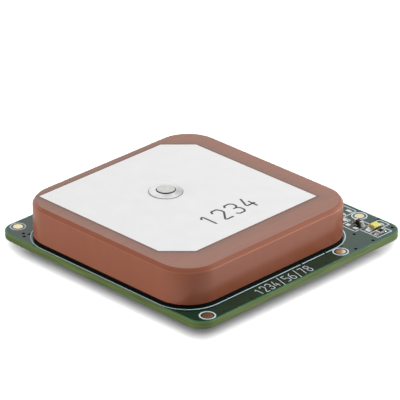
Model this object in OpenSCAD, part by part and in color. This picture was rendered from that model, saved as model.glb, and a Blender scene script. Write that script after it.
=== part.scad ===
// Satellite positioning receiver module: a ceramic patch antenna taped to a small circuit board,
// with the radio under a folded shield can below the board and a side-entry wire connector.
// The origin is under the middle of the board, on the table. +Z is up, the connector faces +X.

/* [Ceramic block] */
// Length of the ceramic block along X
ceramic_l = 25; // [18:0.5:35]
// Width of the ceramic block along Y
ceramic_w = 25; // [18:0.5:35]
// Height of the ceramic block
ceramic_h = 4; // [2:0.1:8]
// Radius of the block's upright corners
ceramic_r = 3.9; // [1.5:0.1:6]
// Chamfer of the upper edge, measured inwards
chamfer_run = 0.3; // [0.1:0.05:0.6]
// Chamfer of the upper edge, measured downwards
chamfer_drop = 0.4; // [0.1:0.05:0.8]

/* [Electrodes and tape] */
// Length of the upper electrode along X
electrode_l = 20.37; // [12:0.05:22]
// Width of the upper electrode along Y
electrode_w = 20.35; // [12:0.05:21]
// Size of the two tuning cuts at opposite corners of the electrode
electrode_cut = 2.7; // [1:0.1:5]
// Thickness of the fired silver electrodes
electrode_t = 0.03; // [0.02:0.005:0.06]
// Offset of the upper electrode from the block's middle along X
electrode_dx = -0.4; // [-0.8:0.05:0.8]
// Offset of the upper electrode from the block's middle along Y
electrode_dy = 1.08; // [-1.2:0.02:1.2]
// Bare ceramic left round the lower electrode
ground_rim = 0.4; // [0.2:0.05:1]
// Thickness of the adhesive tape
tape_t = 0.32; // [0.15:0.01:0.8]

/* [Feed pin] */
// Offset of the feed from the block's middle along X
feed_dx = -0.5; // [-1.5:0.05:1.5]
// Offset of the feed from the block's middle along Y
feed_dy = 2.75; // [1:0.05:4]
// Diameter of the pin's shank
pin_d = 1; // [0.6:0.05:1.4]
// Diameter of the pin's head
head_d = 2.1; // [1.7:0.05:2.6]
// Thickness of the pin's head
head_t = 0.14; // [0.1:0.02:0.4]
// Diameter of the solder mound under the head
mound_d = 3.6; // [3:0.1:4.5]
// Height of the solder mound
mound_h = 0.18; // [0.1:0.02:0.4]
// Length of pin that stands out below the board
pin_tail = 0.8; // [0.4:0.05:1.4]
// Opening round the pin in the lower electrode and the tape
feed_relief_d = 3.2; // [2.4:0.1:5]

/* [Circuit board] */
// Thickness of the board
board_t = 0.8; // [0.4:0.1:1.6]
// Radius of the board's corners
board_r = 1.8; // [0.5:0.1:2.2]
// Board left free beside the block at -X
rim_left = 0.37; // [0.1:0.01:2]
// Board left free in front of the block, at -Y
rim_front = 2.35; // [2:0.05:5]
// Board left free behind the block, at +Y
rim_back = 2.65; // [2:0.05:5]
// Width of the parts strip beside the block at +X
strip_w = 4.63; // [4.4:0.01:8]
// Diameter of the round gold pads
pad_d = 1.06; // [0.6:0.02:1.3]
// Thickness of the plated pads
pad_t = 0.04; // [0.02:0.005:0.08]

/* [Small parts] */
// Length of a two-terminal chip
chip_l = 1; // [0.8:0.05:1.2]
// Width of a two-terminal chip
chip_w = 0.5; // [0.4:0.02:0.6]
// Height of a chip resistor
resistor_h = 0.35; // [0.28:0.01:0.45]
// Height of a chip capacitor or ferrite bead
capacitor_h = 0.5; // [0.4:0.02:0.6]
// Length of a chip's end cap
cap_l = 0.22; // [0.15:0.01:0.3]
// Reach of a solder fillet past the end of its part
fillet_l = 0.24; // [0.12:0.01:0.3]
// Length of the status light
led_l = 1.6; // [1.4:0.05:1.9]
// Width of the status light
led_w = 0.8; // [0.6:0.02:1]
// Overall height of the status light
led_h = 0.42; // [0.32:0.01:0.7]
// Thickness of the status light's base
led_base_t = 0.17; // [0.1:0.01:0.25]
// Length of the regulator's body along X
regulator_l = 2.9; // [2.7:0.05:3.1]
// Width of the regulator's body along Y
regulator_w = 1.6; // [1.4:0.05:1.8]
// Height of the regulator's body
regulator_h = 1; // [0.8:0.05:1.2]
// Distance between the tips of the regulator's leads
regulator_span = 2.8; // [2.6:0.05:3]

/* [Shield can] */
// Thickness of the tinplate
sheet_t = 0.2; // [0.12:0.01:0.3]
// Outer radius of the folds
fold_r = 0.5; // [0.35:0.05:0.9]
// Distance of the can from the board's edge at -X
setback_left = 4.6; // [4.3:0.1:6]
// Distance of the can from the board's edge at -Y
setback_front = 4.6; // [4.3:0.1:6]
// Distance of the can from the board's edge at +Y
setback_back = 6; // [5.6:0.1:7]
// Diameter of the vent holes
vent_d = 0.9; // [0.5:0.1:1.4]
// Distance between vent holes
vent_pitch = 3; // [2:0.1:5]

/* [Connector] */
// Number of contacts
ways = 6; // [4:1:8]
// Distance between contacts
pitch = 1; // [0.8:0.05:1.25]
// Housing past the last contact at each end
conn_end = 1.5; // [1.2:0.05:2]
// Depth of the housing along X
conn_depth = 4.25; // [3.6:0.05:5]
// Height of the housing below the board
conn_h = 2.9; // [2.6:0.05:3.6]
// Thickness of the housing's walls
conn_wall = 0.55; // [0.4:0.05:0.7]
// Depth of the plug's cavity
cavity_depth = 3; // [2.4:0.05:3.2]
// Width of a contact
contact_w = 0.3; // [0.2:0.02:0.4]
// Thickness of the contact strip
contact_t = 0.18; // [0.12:0.01:0.24]
// Length of a contact's foot behind the housing
foot_l = 0.7; // [0.4:0.05:1]

/* [Backup cell] */
// Diameter of the coin cell
cell_d = 4.8; // [4:0.1:5]
// Height of the coin cell
cell_h = 1.4; // [1:0.1:1.8]
// Thickness of the cell's tabs
tab_t = 0.12; // [0.08:0.01:0.2]
// Width of the cell's tabs
tab_w = 2; // [1.4:0.1:2.6]

/* [Fits] */
// Gap between the pin or a contact and the hole round it
fit_gap = 0.02; // [0.01:0.005:0.05]
// Gap between the table and the connector
conn_lift = 0.05; // [0.02:0.01:0.2]
// Gap between the can and the feet of the contacts
can_gap = 0.9; // [0.5:0.05:1.5]

/* [Hidden] */
$fn = 64;

// Colours
MASK_GREEN = [0.15, 0.24, 0.17];
GOLD = [0.85, 0.68, 0.36];
CERAMIC_RED = [0.62, 0.39, 0.31];
SILVER = [0.9, 0.9, 0.9];
TIN = [0.75, 0.76, 0.77];
BLACK = [0.08, 0.08, 0.08];
CREAM = [0.9, 0.88, 0.8];
PHOSPHOR = [0.88, 0.84, 0.3];
TAN = [0.72, 0.6, 0.45];

// Board outline and edges
board_l = rim_left + ceramic_l + strip_w;
board_w = rim_front + ceramic_w + rim_back;
left_edge = -board_l / 2;
right_edge = board_l / 2;
front_edge = -board_w / 2;
back_edge = board_w / 2;

// Heights above the table
shield_h = conn_h + conn_lift;
board_z = shield_h;
board_top = board_z + board_t;
ground_z = board_top + tape_t;
ceramic_z = ground_z + electrode_t;
electrode_z = ceramic_z + ceramic_h;
mound_z = electrode_z + electrode_t;
head_z = mound_z + mound_h;

// Middle of the block and place of the feed
ceramic_x = left_edge + rim_left + ceramic_l / 2;
ceramic_y = front_edge + rim_front + ceramic_w / 2;
feed_x = ceramic_x + feed_dx;
feed_y = ceramic_y + feed_dy;
pin_hole_d = pin_d + 2 * fit_gap;

// Gold pads: two at the left corners, one on the front rim, one on the strip, a test row below
corner_pad_in = [1.87, 1.07];
front_pad_in = [8.57, 1.2];
strip_pad_in = [1.18, 5.4];
test_row_n = 5;
test_row_pitch = 2.2;
test_row_in = 2;
top_pads = [
    [left_edge + corner_pad_in.x, front_edge + corner_pad_in.y],
    [left_edge + corner_pad_in.x, back_edge - corner_pad_in.y],
    [right_edge - front_pad_in.x, front_edge + front_pad_in.y],
    [right_edge - strip_pad_in.x, front_edge + strip_pad_in.y]];
bottom_pads = [for (i = [0 : test_row_n - 1])
    [left_edge + test_row_in, (i - (test_row_n - 1) / 2) * test_row_pitch]];

// Places on the board, measured in from its edges or off from the feed
function from_front(inset) = [right_edge - inset.x, front_edge + inset.y];
function from_back(inset) = [right_edge - inset.x, back_edge - inset.y];
function from_feed(offset_xy) = [feed_x + offset_xy.x, feed_y + offset_xy.y];

// Parts on the strip beside the block, in from the right and front edges
led_in = [1.95, 2.5];
led_resistor_in = [2.5, 1.2];
bead_in = [2.61, 4.15];
regulator_in = [2, 12];
output_capacitor_in = [1.6, 15.2];
bypass_capacitor_in = [3.1, 15.2];
led_at = from_front(led_in);
regulator_at = from_front(regulator_in);

// Footprints on the strip that hold no part: their lands are tinned
spare_chip_in = [3.55, 4.28];
spare_capacitor_in = [3.5, 5.87];
spare_regulator_in = [2.07, 8.2];
chip_land = [0.55, 0.55];
chip_land_pitch = 1.05;
lead_land = [0.42, 0.8];
lead_land_span = 2.5;
tinned_h = 0.1;
tinned_r = 0.12;

// Chips below the board, outside the can
strap_resistor_in = [[2.2, 4.6], [3.6, 4.6]];
supply_bead_in = [2.2, 4.6];
supply_capacitor_in = [3.8, 4.6];

// Chips below the board, under the can
crystal_resistor_from_feed = [6.6, -9.4];
antenna_choke_from_feed = [-2.4, -1.8];
antenna_capacitor_from_feed = [-4.6, -1.8];
receiver_capacitor_from_feed = [[2.6, -1.2], [4.6, -1.2]];
oscillator_capacitor_from_feed = [-2, -7.8];

// Each chip is [side, place, turn]: side 1 is above the board and -1 below it
resistor_spots = [
    [1, from_front(led_resistor_in), 0],
    for (inset = strap_resistor_in) [-1, from_back(inset), 90],
    [-1, from_feed(crystal_resistor_from_feed), 0]];
bead_spots = [
    [1, from_front(bead_in), 90],
    [-1, from_front(supply_bead_in), 90],
    [-1, from_feed(antenna_choke_from_feed), 90]];
capacitor_spots = [
    [1, from_front(output_capacitor_in), 90],
    [1, from_front(bypass_capacitor_in), 90],
    [-1, from_front(supply_capacitor_in), 90],
    for (offset_xy = receiver_capacitor_from_feed) [-1, from_feed(offset_xy), 0],
    [-1, from_feed(antenna_capacitor_from_feed), 90],
    [-1, from_feed(oscillator_capacitor_from_feed), 0]];

// Status light and regulator
led_terminal_l = 0.3;
led_draft = 0.04;
lead_w = 0.4;
lead_t = 0.15;
lead_pitch = 0.95;
lead_shoulder = 0.2;
regulator_lift = 0.08;
regulator_draft = 0.1;

// Shield can, between the two setbacks and the feet of the contacts
can_x0 = left_edge + setback_left;
can_x1 = right_edge - conn_depth - foot_l - can_gap;
can_y0 = front_edge + setback_front;
can_y1 = back_edge - setback_back;
can_l = can_x1 - can_x0;
can_w = can_y1 - can_y0;
fold_relief = 0.12;
notch_w = 1.2;
notch_h = 0.45;
vent_margin = 4;

// Parts under the can, placed from the feed: size of the body and offset from the feed
receiver_size = [5, 5, 0.8];
receiver_from_feed = [4.2, -5];
land_t = 0.05;
lands_per_side = 10;
land_pitch = 0.4;
land_size = [0.2, 0.4];
flash_size = [2, 3, 0.55];
flash_from_feed = [9, -1.6];
oscillator_size = [2.5, 2, 0.8];
oscillator_from_feed = [-2.2, -5];
crystal_size = [3.2, 1.5, 0.8];
crystal_from_feed = [3.2, -9.4];
lid_t = 0.2;
lid_rim = 0.15;
lid_r = 0.2;
saw_size = [1.4, 1.1, 0.6];
saw_from_feed = [-5, 0.6];
amplifier_size = [1.45, 1, 0.5];
amplifier_from_feed = [-2.6, 0.6];
inductor_size = [2, 1.6, 1];
inductor_from_feed = [8.8, -5.2];

// Connector
conn_w = (ways - 1) * pitch + 2 * conn_end;
conn_at = [right_edge, ceramic_y];
cavity_w = conn_w - 2 * conn_wall;
cavity_h = conn_h - 2 * conn_wall;
conn_edge = 0.15;
mouth_flare = 0.2;
back_step_l = 0.9;
back_step_h = 0.5;
contact_z = conn_h / 2;
contact_tip = 0.6;
key_w = 0.8;
key_l = 1.6;
key_in = 0.9;
rib_h = 0.25;
rib_w = 0.4;
hold_down_t = 0.2;
hold_down_l = 1.4;
hold_down_foot = 0.6;
hold_down_h = 1.1;
hold_down_back = 2.4;

// Backup cell in the strip behind the can
cell_at = [ceramic_x, back_edge - setback_back / 2];
cell_edge_r = 0.25;
cell_crimp_w = 0.55;
cell_cap_rise = 0.15;
tab_reach = 0.5;
tab_foot = 0.9;

// Moves children onto the board's upper face or, turned over, onto its underside
module on_board(side) {
    if (side > 0)
        translate([0, 0, board_top]) children();
    else
        translate([0, 0, board_z]) mirror([0, 0, 1]) children();
}

// Rectangle with round corners
module round_square(l, w, r) {
    square([l - 2 * r, w], center = true);
    square([l, w - 2 * r], center = true);
    for (sx = [-1, 1], sy = [-1, 1])
        translate([sx * (l / 2 - r), sy * (w / 2 - r)]) circle(r);
}

// Plate with round corners
module round_plate(l, w, h, r) {
    linear_extrude(h) round_square(l, w, r);
}

// Upper layer of a plate with round corners, drawn in by run over its height
module chamfer_layer(l, w, h, r, run) {
    slope = function(span) [[-span / 2, 0], [span / 2, 0], [span / 2 - run, h], [-span / 2 + run, h]];
    rotate([90, 0, 90]) translate([0, 0, -(l / 2 - r)]) linear_extrude(l - 2 * r) polygon(slope(w));
    rotate([90, 0, 0]) translate([0, 0, -(w / 2 - r)]) linear_extrude(w - 2 * r) polygon(slope(l));
    for (sx = [-1, 1], sy = [-1, 1])
        translate([sx * (l / 2 - r), sy * (w / 2 - r), 0]) cylinder(h = h, r1 = r, r2 = r - run);
}

// Moulded block: upright band at the parting line, drafted above and below it
module drafted_block(l, w, h, draft, band) {
    side = function(span) [
        [-span / 2 + draft, 0], [span / 2 - draft, 0],
        [span / 2, (h - band) / 2], [span / 2, (h + band) / 2],
        [span / 2 - draft, h], [-span / 2 + draft, h],
        [-span / 2, (h + band) / 2], [-span / 2, (h - band) / 2]];
    intersection() {
        rotate([90, 0, 90]) translate([0, 0, -l / 2]) linear_extrude(l) polygon(side(w));
        rotate([90, 0, 0]) translate([0, 0, -w / 2]) linear_extrude(w) polygon(side(l));
    }
}

// Strip of metal bent along the points of a path in X and Z, with round bends
module bent_strip(path, t, w) {
    rotate([90, 0, 0]) translate([0, 0, -w / 2]) linear_extrude(w) {
        for (i = [0 : len(path) - 2]) {
            step = path[i + 1] - path[i];
            translate(path[i]) rotate(atan2(step.y, step.x)) translate([0, -t / 2]) square([norm(step), t]);
        }
        for (i = [1 : len(path) - 2])
            translate(path[i]) circle(d = t);
    }
}

// Solder fillet that rises against a face at x = 0 and runs out along +X
module fillet(reach, rise, w) {
    toe = 0.15;
    waist = [0.45 * reach, 0.4 * rise];
    profile = [[0, 0], [reach, 0], [reach, toe * rise], waist, [toe * reach, rise], [0, rise]];
    rotate([90, 0, 0]) translate([0, 0, -w / 2]) linear_extrude(w) polygon(profile);
}

// Calls its children at each chip of a list
module at_spots(spots) {
    for (spot = spots)
        on_board(spot[0]) translate(spot[1]) rotate(spot[2]) children();
}

// Body of a chip between its end caps
module chip_body(h) {
    wrap = 0.02;
    translate([-chip_l / 2 + cap_l, -chip_w / 2 + wrap, wrap])
        cube([chip_l - 2 * cap_l, chip_w - 2 * wrap, h - 2 * wrap]);
}

// The two end caps of a chip
module chip_caps(h) {
    for (s = [-1, 1])
        translate([s * (chip_l - cap_l) / 2, 0, h / 2]) cube([cap_l, chip_w, h], center = true);
}

// Solder fillets at both ends of a part of length l and width w
module end_fillets(l, w, rise) {
    for (s = [0, 180])
        rotate(s) translate([l / 2, 0, 0]) fillet(fillet_l, rise, w);
}

module circuit_board() {
    color(MASK_GREEN) difference() {
        translate([0, 0, board_z]) round_plate(board_l, board_w, board_t, board_r);
        translate([feed_x, feed_y, board_z - 1]) cylinder(h = board_t + 2, d = pin_hole_d);
    }
}

module gold_test_pads() {
    color(GOLD) {
        for (p = top_pads)
            on_board(1) translate(p) cylinder(h = pad_t, d = pad_d);
        for (p = bottom_pads)
            on_board(-1) translate(p) cylinder(h = pad_t, d = pad_d);
    }
}

module adhesive_tape() {
    color(BLACK) difference() {
        translate([ceramic_x, ceramic_y, board_top]) round_plate(ceramic_l, ceramic_w, tape_t, ceramic_r);
        translate([feed_x, feed_y, board_top - 1]) cylinder(h = tape_t + 2, d = feed_relief_d);
    }
}

module antenna_ground() {
    l = ceramic_l - 2 * ground_rim;
    w = ceramic_w - 2 * ground_rim;
    color(SILVER) difference() {
        translate([ceramic_x, ceramic_y, ground_z]) round_plate(l, w, electrode_t, ceramic_r - ground_rim);
        translate([feed_x, feed_y, ground_z - 1]) cylinder(h = electrode_t + 2, d = feed_relief_d);
    }
}

module antenna_ceramic() {
    upright = ceramic_h - chamfer_drop;
    color(CERAMIC_RED) difference() {
        translate([ceramic_x, ceramic_y, ceramic_z]) {
            round_plate(ceramic_l, ceramic_w, upright, ceramic_r);
            translate([0, 0, upright])
                chamfer_layer(ceramic_l, ceramic_w, chamfer_drop, ceramic_r, chamfer_run);
        }
        translate([feed_x, feed_y, ceramic_z - 1]) cylinder(h = ceramic_h + 2, d = pin_hole_d);
    }
}

module antenna_electrode() {
    x = electrode_l / 2;
    y = electrode_w / 2;
    c = electrode_cut;
    outline = [[-x, -y + c], [-x + c, -y], [x, -y], [x, y - c], [x - c, y], [-x, y]];
    color(SILVER) difference() {
        translate([ceramic_x + electrode_dx, ceramic_y + electrode_dy, electrode_z])
            linear_extrude(electrode_t) polygon(outline);
        translate([feed_x, feed_y, electrode_z - 1]) cylinder(h = electrode_t + 2, d = pin_hole_d);
    }
}

// Turned pin: flat head with broken edges, straight shank, tapered end below the board
module feed_pin() {
    edge = head_t / 4;
    tip = pin_d / 4;
    top = head_z + head_t;
    low = board_z - pin_tail;
    color(TIN) translate([feed_x, feed_y, 0]) rotate_extrude()
        polygon([
            [0, low], [pin_d / 2 - tip, low], [pin_d / 2, low + tip], [pin_d / 2, head_z],
            [head_d / 2 - edge, head_z], [head_d / 2, head_z + edge],
            [head_d / 2, top - edge], [head_d / 2 - edge, top], [0, top]]);
}

// Low mound that holds the head to the electrode, drawn in under the head's rim
module feed_solder_top() {
    neck = head_d / 2 - 0.15;
    lip = 0.02;
    color(TIN) translate([feed_x, feed_y, mound_z]) rotate_extrude()
        polygon([
            [pin_hole_d / 2, 0], [mound_d / 2, 0], [mound_d / 2, lip],
            [(mound_d / 2 + neck) / 2, 0.6 * mound_h], [neck, mound_h], [pin_hole_d / 2, mound_h]]);
}

// Solder cone round the pin's end
module feed_solder_bottom() {
    rise = 0.75 * pin_tail;
    foot = pin_d + 0.9;
    color(TIN) on_board(-1) translate([feed_x, feed_y, 0]) difference() {
        cylinder(h = rise, d1 = foot, d2 = pin_d + 0.3);
        translate([0, 0, -1]) cylinder(h = rise + 2, d = pin_hole_d);
    }
}

module led_base() {
    color(BLACK) on_board(1) translate([led_at.x, led_at.y, led_base_t / 2])
        cube([led_l - 2 * led_terminal_l, led_w, led_base_t], center = true);
}

module led_terminals() {
    color(GOLD) on_board(1) translate(led_at)
        for (s = [-1, 1])
            translate([s * (led_l - led_terminal_l) / 2, 0, led_base_t / 2])
                cube([led_terminal_l, led_w, led_base_t], center = true);
}

module led_lens() {
    l = led_l - 2 * led_terminal_l;
    h = led_h - led_base_t;
    color(PHOSPHOR) on_board(1) translate([led_at.x, led_at.y, led_base_t]) intersection() {
        translate([0, 0, -h]) drafted_block(l, led_w, 2 * h, led_draft, 0.2 * h);
        translate([-l, -led_w, 0]) cube([2 * l, 2 * led_w, h]);
    }
}

module resistor_bodies() {
    color(BLACK) at_spots(resistor_spots) chip_body(resistor_h);
}

module ferrite_beads() {
    color(BLACK) at_spots(bead_spots) chip_body(capacitor_h);
}

module capacitor_bodies() {
    color(TAN) at_spots(capacitor_spots) chip_body(capacitor_h);
}

module chip_end_caps() {
    color(TIN) {
        at_spots(resistor_spots) chip_caps(resistor_h);
        at_spots(concat(bead_spots, capacitor_spots)) chip_caps(capacitor_h);
    }
}

// Low pillow of solder on a land
module tinned_land(size) {
    chamfer_layer(size.x, size.y, tinned_h, tinned_r, 0.7 * tinned_r);
}

// The two tinned lands of a chip that isn't fitted
module spare_chip_lands() {
    for (s = [-1, 1])
        translate([s * chip_land_pitch / 2, 0, 0]) tinned_land(chip_land);
}

// The five tinned lands of a regulator that isn't fitted
module spare_regulator_lands() {
    for (i = [-1 : 1])
        translate([i * lead_pitch, -lead_land_span / 2, 0]) tinned_land(lead_land);
    for (i = [-1, 1])
        translate([i * lead_pitch, lead_land_span / 2, 0]) tinned_land(lead_land);
}

// Joints of the chips and the status light, and the tinned lands with no part
module solder_fillets() {
    color(TIN) {
        at_spots(resistor_spots) end_fillets(chip_l, chip_w, 0.7 * resistor_h);
        at_spots(concat(bead_spots, capacitor_spots)) end_fillets(chip_l, chip_w, 0.7 * capacitor_h);
        on_board(1) {
            translate(led_at) end_fillets(led_l, led_w, 0.9 * led_base_t);
            translate(from_front(spare_chip_in)) rotate(90) spare_chip_lands();
            translate(from_front(spare_capacitor_in)) spare_chip_lands();
            translate(from_front(spare_regulator_in)) spare_regulator_lands();
        }
    }
}

module voltage_regulator() {
    color(BLACK) on_board(1) translate([regulator_at.x, regulator_at.y, regulator_lift])
        drafted_block(regulator_l, regulator_w, regulator_h, regulator_draft, lead_t);
}

// Bent leads: three on the front side and two on the back
module regulator_leads() {
    mid = regulator_lift + regulator_h / 2;
    knee = regulator_w / 2 + lead_shoulder;
    heel = [knee + lead_t / 2, lead_t / 2];
    path = [[regulator_w / 2, mid], [knee, mid], heel, [regulator_span / 2, lead_t / 2]];
    color(TIN) on_board(1) translate(regulator_at) {
        for (i = [-1 : 1])
            translate([i * lead_pitch, 0, 0]) rotate(-90) bent_strip(path, lead_t, lead_w);
        for (i = [-1, 1])
            translate([i * lead_pitch, 0, 0]) rotate(90) bent_strip(path, lead_t, lead_w);
    }
}

// One folded wall of the can: bend and upright, with notches for the board's tracks at its foot
module can_wall(l) {
    h = shield_h;
    difference() {
        rotate([90, 0, 0]) translate([0, 0, -l / 2]) linear_extrude(l) {
            translate([0, fold_r]) intersection() {
                difference() {
                    circle(fold_r);
                    circle(fold_r - sheet_t);
                }
                translate([0, -fold_r]) square(fold_r);
            }
            translate([fold_r - sheet_t, fold_r]) square([sheet_t, h - fold_r]);
        }
        for (s = [-1, 1])
            translate([0, s * l / 4 - notch_w / 2, h - notch_h]) cube([2 * fold_r, notch_w, notch_h + 1]);
    }
}

// Shield can folded from one sheet, open at the corners, its flat face on the table
module shield_can() {
    plate_l = can_l - 2 * fold_r;
    plate_w = can_w - 2 * fold_r;
    nx = floor((can_l - 2 * vent_margin) / vent_pitch);
    ny = floor((can_w - 2 * vent_margin) / vent_pitch);
    color(TIN) translate([(can_x0 + can_x1) / 2, (can_y0 + can_y1) / 2, 0]) {
        difference() {
            translate([-plate_l / 2, -plate_w / 2, 0]) cube([plate_l, plate_w, sheet_t]);
            for (i = [0 : nx], j = [0 : ny])
                translate([(i - nx / 2) * vent_pitch, (j - ny / 2) * vent_pitch, -1])
                    cylinder(h = sheet_t + 2, d = vent_d);
        }
        for (s = [0, 180]) {
            rotate(s) translate([plate_l / 2, 0, 0]) can_wall(plate_w - 2 * fold_relief);
            rotate(s + 90) translate([plate_w / 2, 0, 0]) can_wall(plate_l - 2 * fold_relief);
        }
    }
}

// Places a part below the board by its offset from the feed
module below_feed(offset_xy, lift = 0) {
    on_board(-1) translate([feed_x + offset_xy.x, feed_y + offset_xy.y, lift]) children();
}

// Flat package that stands on the board
module package(size) {
    translate([-size.x / 2, -size.y / 2, 0]) cube(size);
}

// Ceramic package with a metal lid: its base and its lid
module package_base(size) {
    package([size.x, size.y, size.z - lid_t]);
}

module package_lid(size) {
    translate([0, 0, size.z - lid_t])
        round_plate(size.x - 2 * lid_rim, size.y - 2 * lid_rim, lid_t, lid_r);
}

module receiver_chip() {
    color(BLACK) below_feed(receiver_from_feed, land_t) package(receiver_size);
}

module receiver_chip_lands() {
    heat_pad = receiver_size.x - 4 * land_size.y;
    row_x = (receiver_size.x - land_size.y) / 2;
    color(TIN) below_feed(receiver_from_feed) {
        package([heat_pad, heat_pad, land_t]);
        for (turn = [0 : 90 : 270], i = [0 : lands_per_side - 1])
            rotate(turn) translate([row_x, (i - (lands_per_side - 1) / 2) * land_pitch, 0])
                package([land_size.y, land_size.x, land_t]);
    }
}

module flash_memory() {
    color(BLACK) below_feed(flash_from_feed) package(flash_size);
}

module oscillator_base() {
    color(TAN) below_feed(oscillator_from_feed) package_base(oscillator_size);
}

module oscillator_lid() {
    color(SILVER) below_feed(oscillator_from_feed) package_lid(oscillator_size);
}

module crystal_base() {
    color(TAN) below_feed(crystal_from_feed) package_base(crystal_size);
}

module crystal_lid() {
    color(SILVER) below_feed(crystal_from_feed) package_lid(crystal_size);
}

module saw_filter() {
    color(TAN) below_feed(saw_from_feed) package(saw_size);
}

module low_noise_amplifier() {
    color(BLACK) below_feed(amplifier_from_feed) package(amplifier_size);
}

module power_inductor() {
    color(BLACK) below_feed(inductor_from_feed) package(inductor_size);
}

// Coin cell seated on its lower tab: a can with a crimped round rim, and the cap that rises inside it
module backup_cell() {
    rim_h = cell_h - cell_cap_rise;
    color(TIN) on_board(-1) translate([cell_at.x, cell_at.y, tab_t]) rotate_extrude() {
        square([cell_d / 2 - cell_edge_r, rim_h]);
        square([cell_d / 2, rim_h - cell_edge_r]);
        translate([cell_d / 2 - cell_edge_r, rim_h - cell_edge_r]) circle(cell_edge_r);
        square([cell_d / 2 - cell_crimp_w, cell_h]);
    }
}

// Lower tab flat on the board, upper tab bent down to it on the other side
module backup_cell_tabs() {
    reach = cell_d / 2 + tab_reach;
    over = tab_t + cell_h + tab_t / 2;
    upper = [[-cell_d / 4, over], [reach, over], [reach, tab_t / 2], [reach + tab_foot, tab_t / 2]];
    color(TIN) on_board(-1) translate(cell_at) {
        translate([-reach - tab_foot, -tab_w / 2, 0]) cube([reach + tab_foot + cell_d / 4, tab_w, tab_t]);
        bent_strip(upper, tab_t, tab_w);
    }
}

// Places the connector's parts below the board: +X out of its mouth, Z away from the board
module at_connector() {
    on_board(-1) translate(conn_at) children();
}

// Outside of the housing: side profile with a low step at the back, its ends broken in plan
module housing_block() {
    side = [
        [-conn_depth, 0], [-conn_depth, conn_h - back_step_h - conn_edge],
        [-conn_depth + conn_edge, conn_h - back_step_h], [-conn_depth + back_step_l, conn_h - back_step_h],
        [-conn_depth + back_step_l + conn_edge, conn_h],
        [-conn_edge, conn_h], [0, conn_h - conn_edge], [0, conn_edge], [-conn_edge, 0]];
    plan = [
        [-conn_depth, -conn_w / 2 + conn_edge], [-conn_depth + conn_edge, -conn_w / 2],
        [-conn_edge, -conn_w / 2], [0, -conn_w / 2 + conn_edge],
        [0, conn_w / 2 - conn_edge], [-conn_edge, conn_w / 2],
        [-conn_depth + conn_edge, conn_w / 2], [-conn_depth, conn_w / 2 - conn_edge]];
    intersection() {
        rotate([90, 0, 0]) translate([0, 0, -conn_w / 2]) linear_extrude(conn_w) polygon(side);
        linear_extrude(conn_h) polygon(plan);
    }
}

// Room for the plug: a straight cavity whose mouth opens out in a lead-in
module plug_cavity() {
    flare = function(span) [
        [-cavity_depth, -span / 2], [-mouth_flare, -span / 2], [mouth_flare, -span / 2 - 2 * mouth_flare],
        [mouth_flare, span / 2 + 2 * mouth_flare], [-mouth_flare, span / 2], [-cavity_depth, span / 2]];
    intersection() {
        rotate([90, 0, 0]) translate([0, conn_wall + cavity_h / 2, -conn_w])
            linear_extrude(2 * conn_w) polygon(flare(cavity_h));
        translate([0, 0, -conn_h]) linear_extrude(3 * conn_h) polygon(flare(cavity_w));
    }
}

// Moulded housing: plug cavity with two guide ribs, contact slots through the back, keyways in the outer wall
module connector_housing() {
    key_y = cavity_w / 2 - key_in;
    rib_l = cavity_depth - mouth_flare - conn_edge;
    root = conn_edge;
    color(CREAM) at_connector() {
        difference() {
            housing_block();
            plug_cavity();
            for (s = [-1, 1])
                translate([-key_l, s * key_y - key_w / 2, conn_h - conn_wall - 1])
                    cube([key_l + 1, key_w, conn_wall + 2]);
            for (i = [0 : ways - 1])
                translate([-conn_depth / 2, (i - (ways - 1) / 2) * pitch, contact_z])
                    cube([conn_depth + 1, contact_w + 2 * fit_gap, contact_t + 2 * fit_gap], center = true);
        }
        for (s = [-1, 1])
            translate([-cavity_depth - root, s * key_y - rib_w / 2, conn_wall - root])
                cube([rib_l + root, rib_w, rib_h + root]);
    }
}

// Contacts: a blade in the cavity, through the back wall, bent down to a foot on the board
module connector_contacts() {
    knee = conn_depth + contact_t / 2 + fit_gap;
    toe = [-conn_depth - foot_l, contact_t / 2];
    path = [[-contact_tip, contact_z], [-knee, contact_z], [-knee, contact_t / 2], toe];
    color(TIN) at_connector()
        for (i = [0 : ways - 1])
            translate([0, (i - (ways - 1) / 2) * pitch, 0]) bent_strip(path, contact_t, contact_w);
}

// Hold-down tabs against both ends of the housing, with feet on the board
module connector_tabs() {
    color(TIN) at_connector()
        for (s = [0, 1])
            mirror([0, s, 0]) translate([-hold_down_back, conn_w / 2, 0]) {
                cube([hold_down_l, hold_down_foot, hold_down_t]);
                cube([hold_down_l, hold_down_t, hold_down_h]);
            }
}

circuit_board();
gold_test_pads();
adhesive_tape();
antenna_ground();
antenna_ceramic();
antenna_electrode();
feed_pin();
feed_solder_top();
feed_solder_bottom();
led_base();
led_terminals();
led_lens();
resistor_bodies();
ferrite_beads();
capacitor_bodies();
chip_end_caps();
solder_fillets();
voltage_regulator();
regulator_leads();
shield_can();
receiver_chip();
receiver_chip_lands();
flash_memory();
oscillator_base();
oscillator_lid();
crystal_base();
crystal_lid();
saw_filter();
low_noise_amplifier();
power_inductor();
backup_cell();
backup_cell_tabs();
connector_housing();
connector_contacts();
connector_tabs();
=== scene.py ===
"""Positioning receiver module: a ceramic patch antenna on a small circuit board, dressed for the render."""
import math

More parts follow.
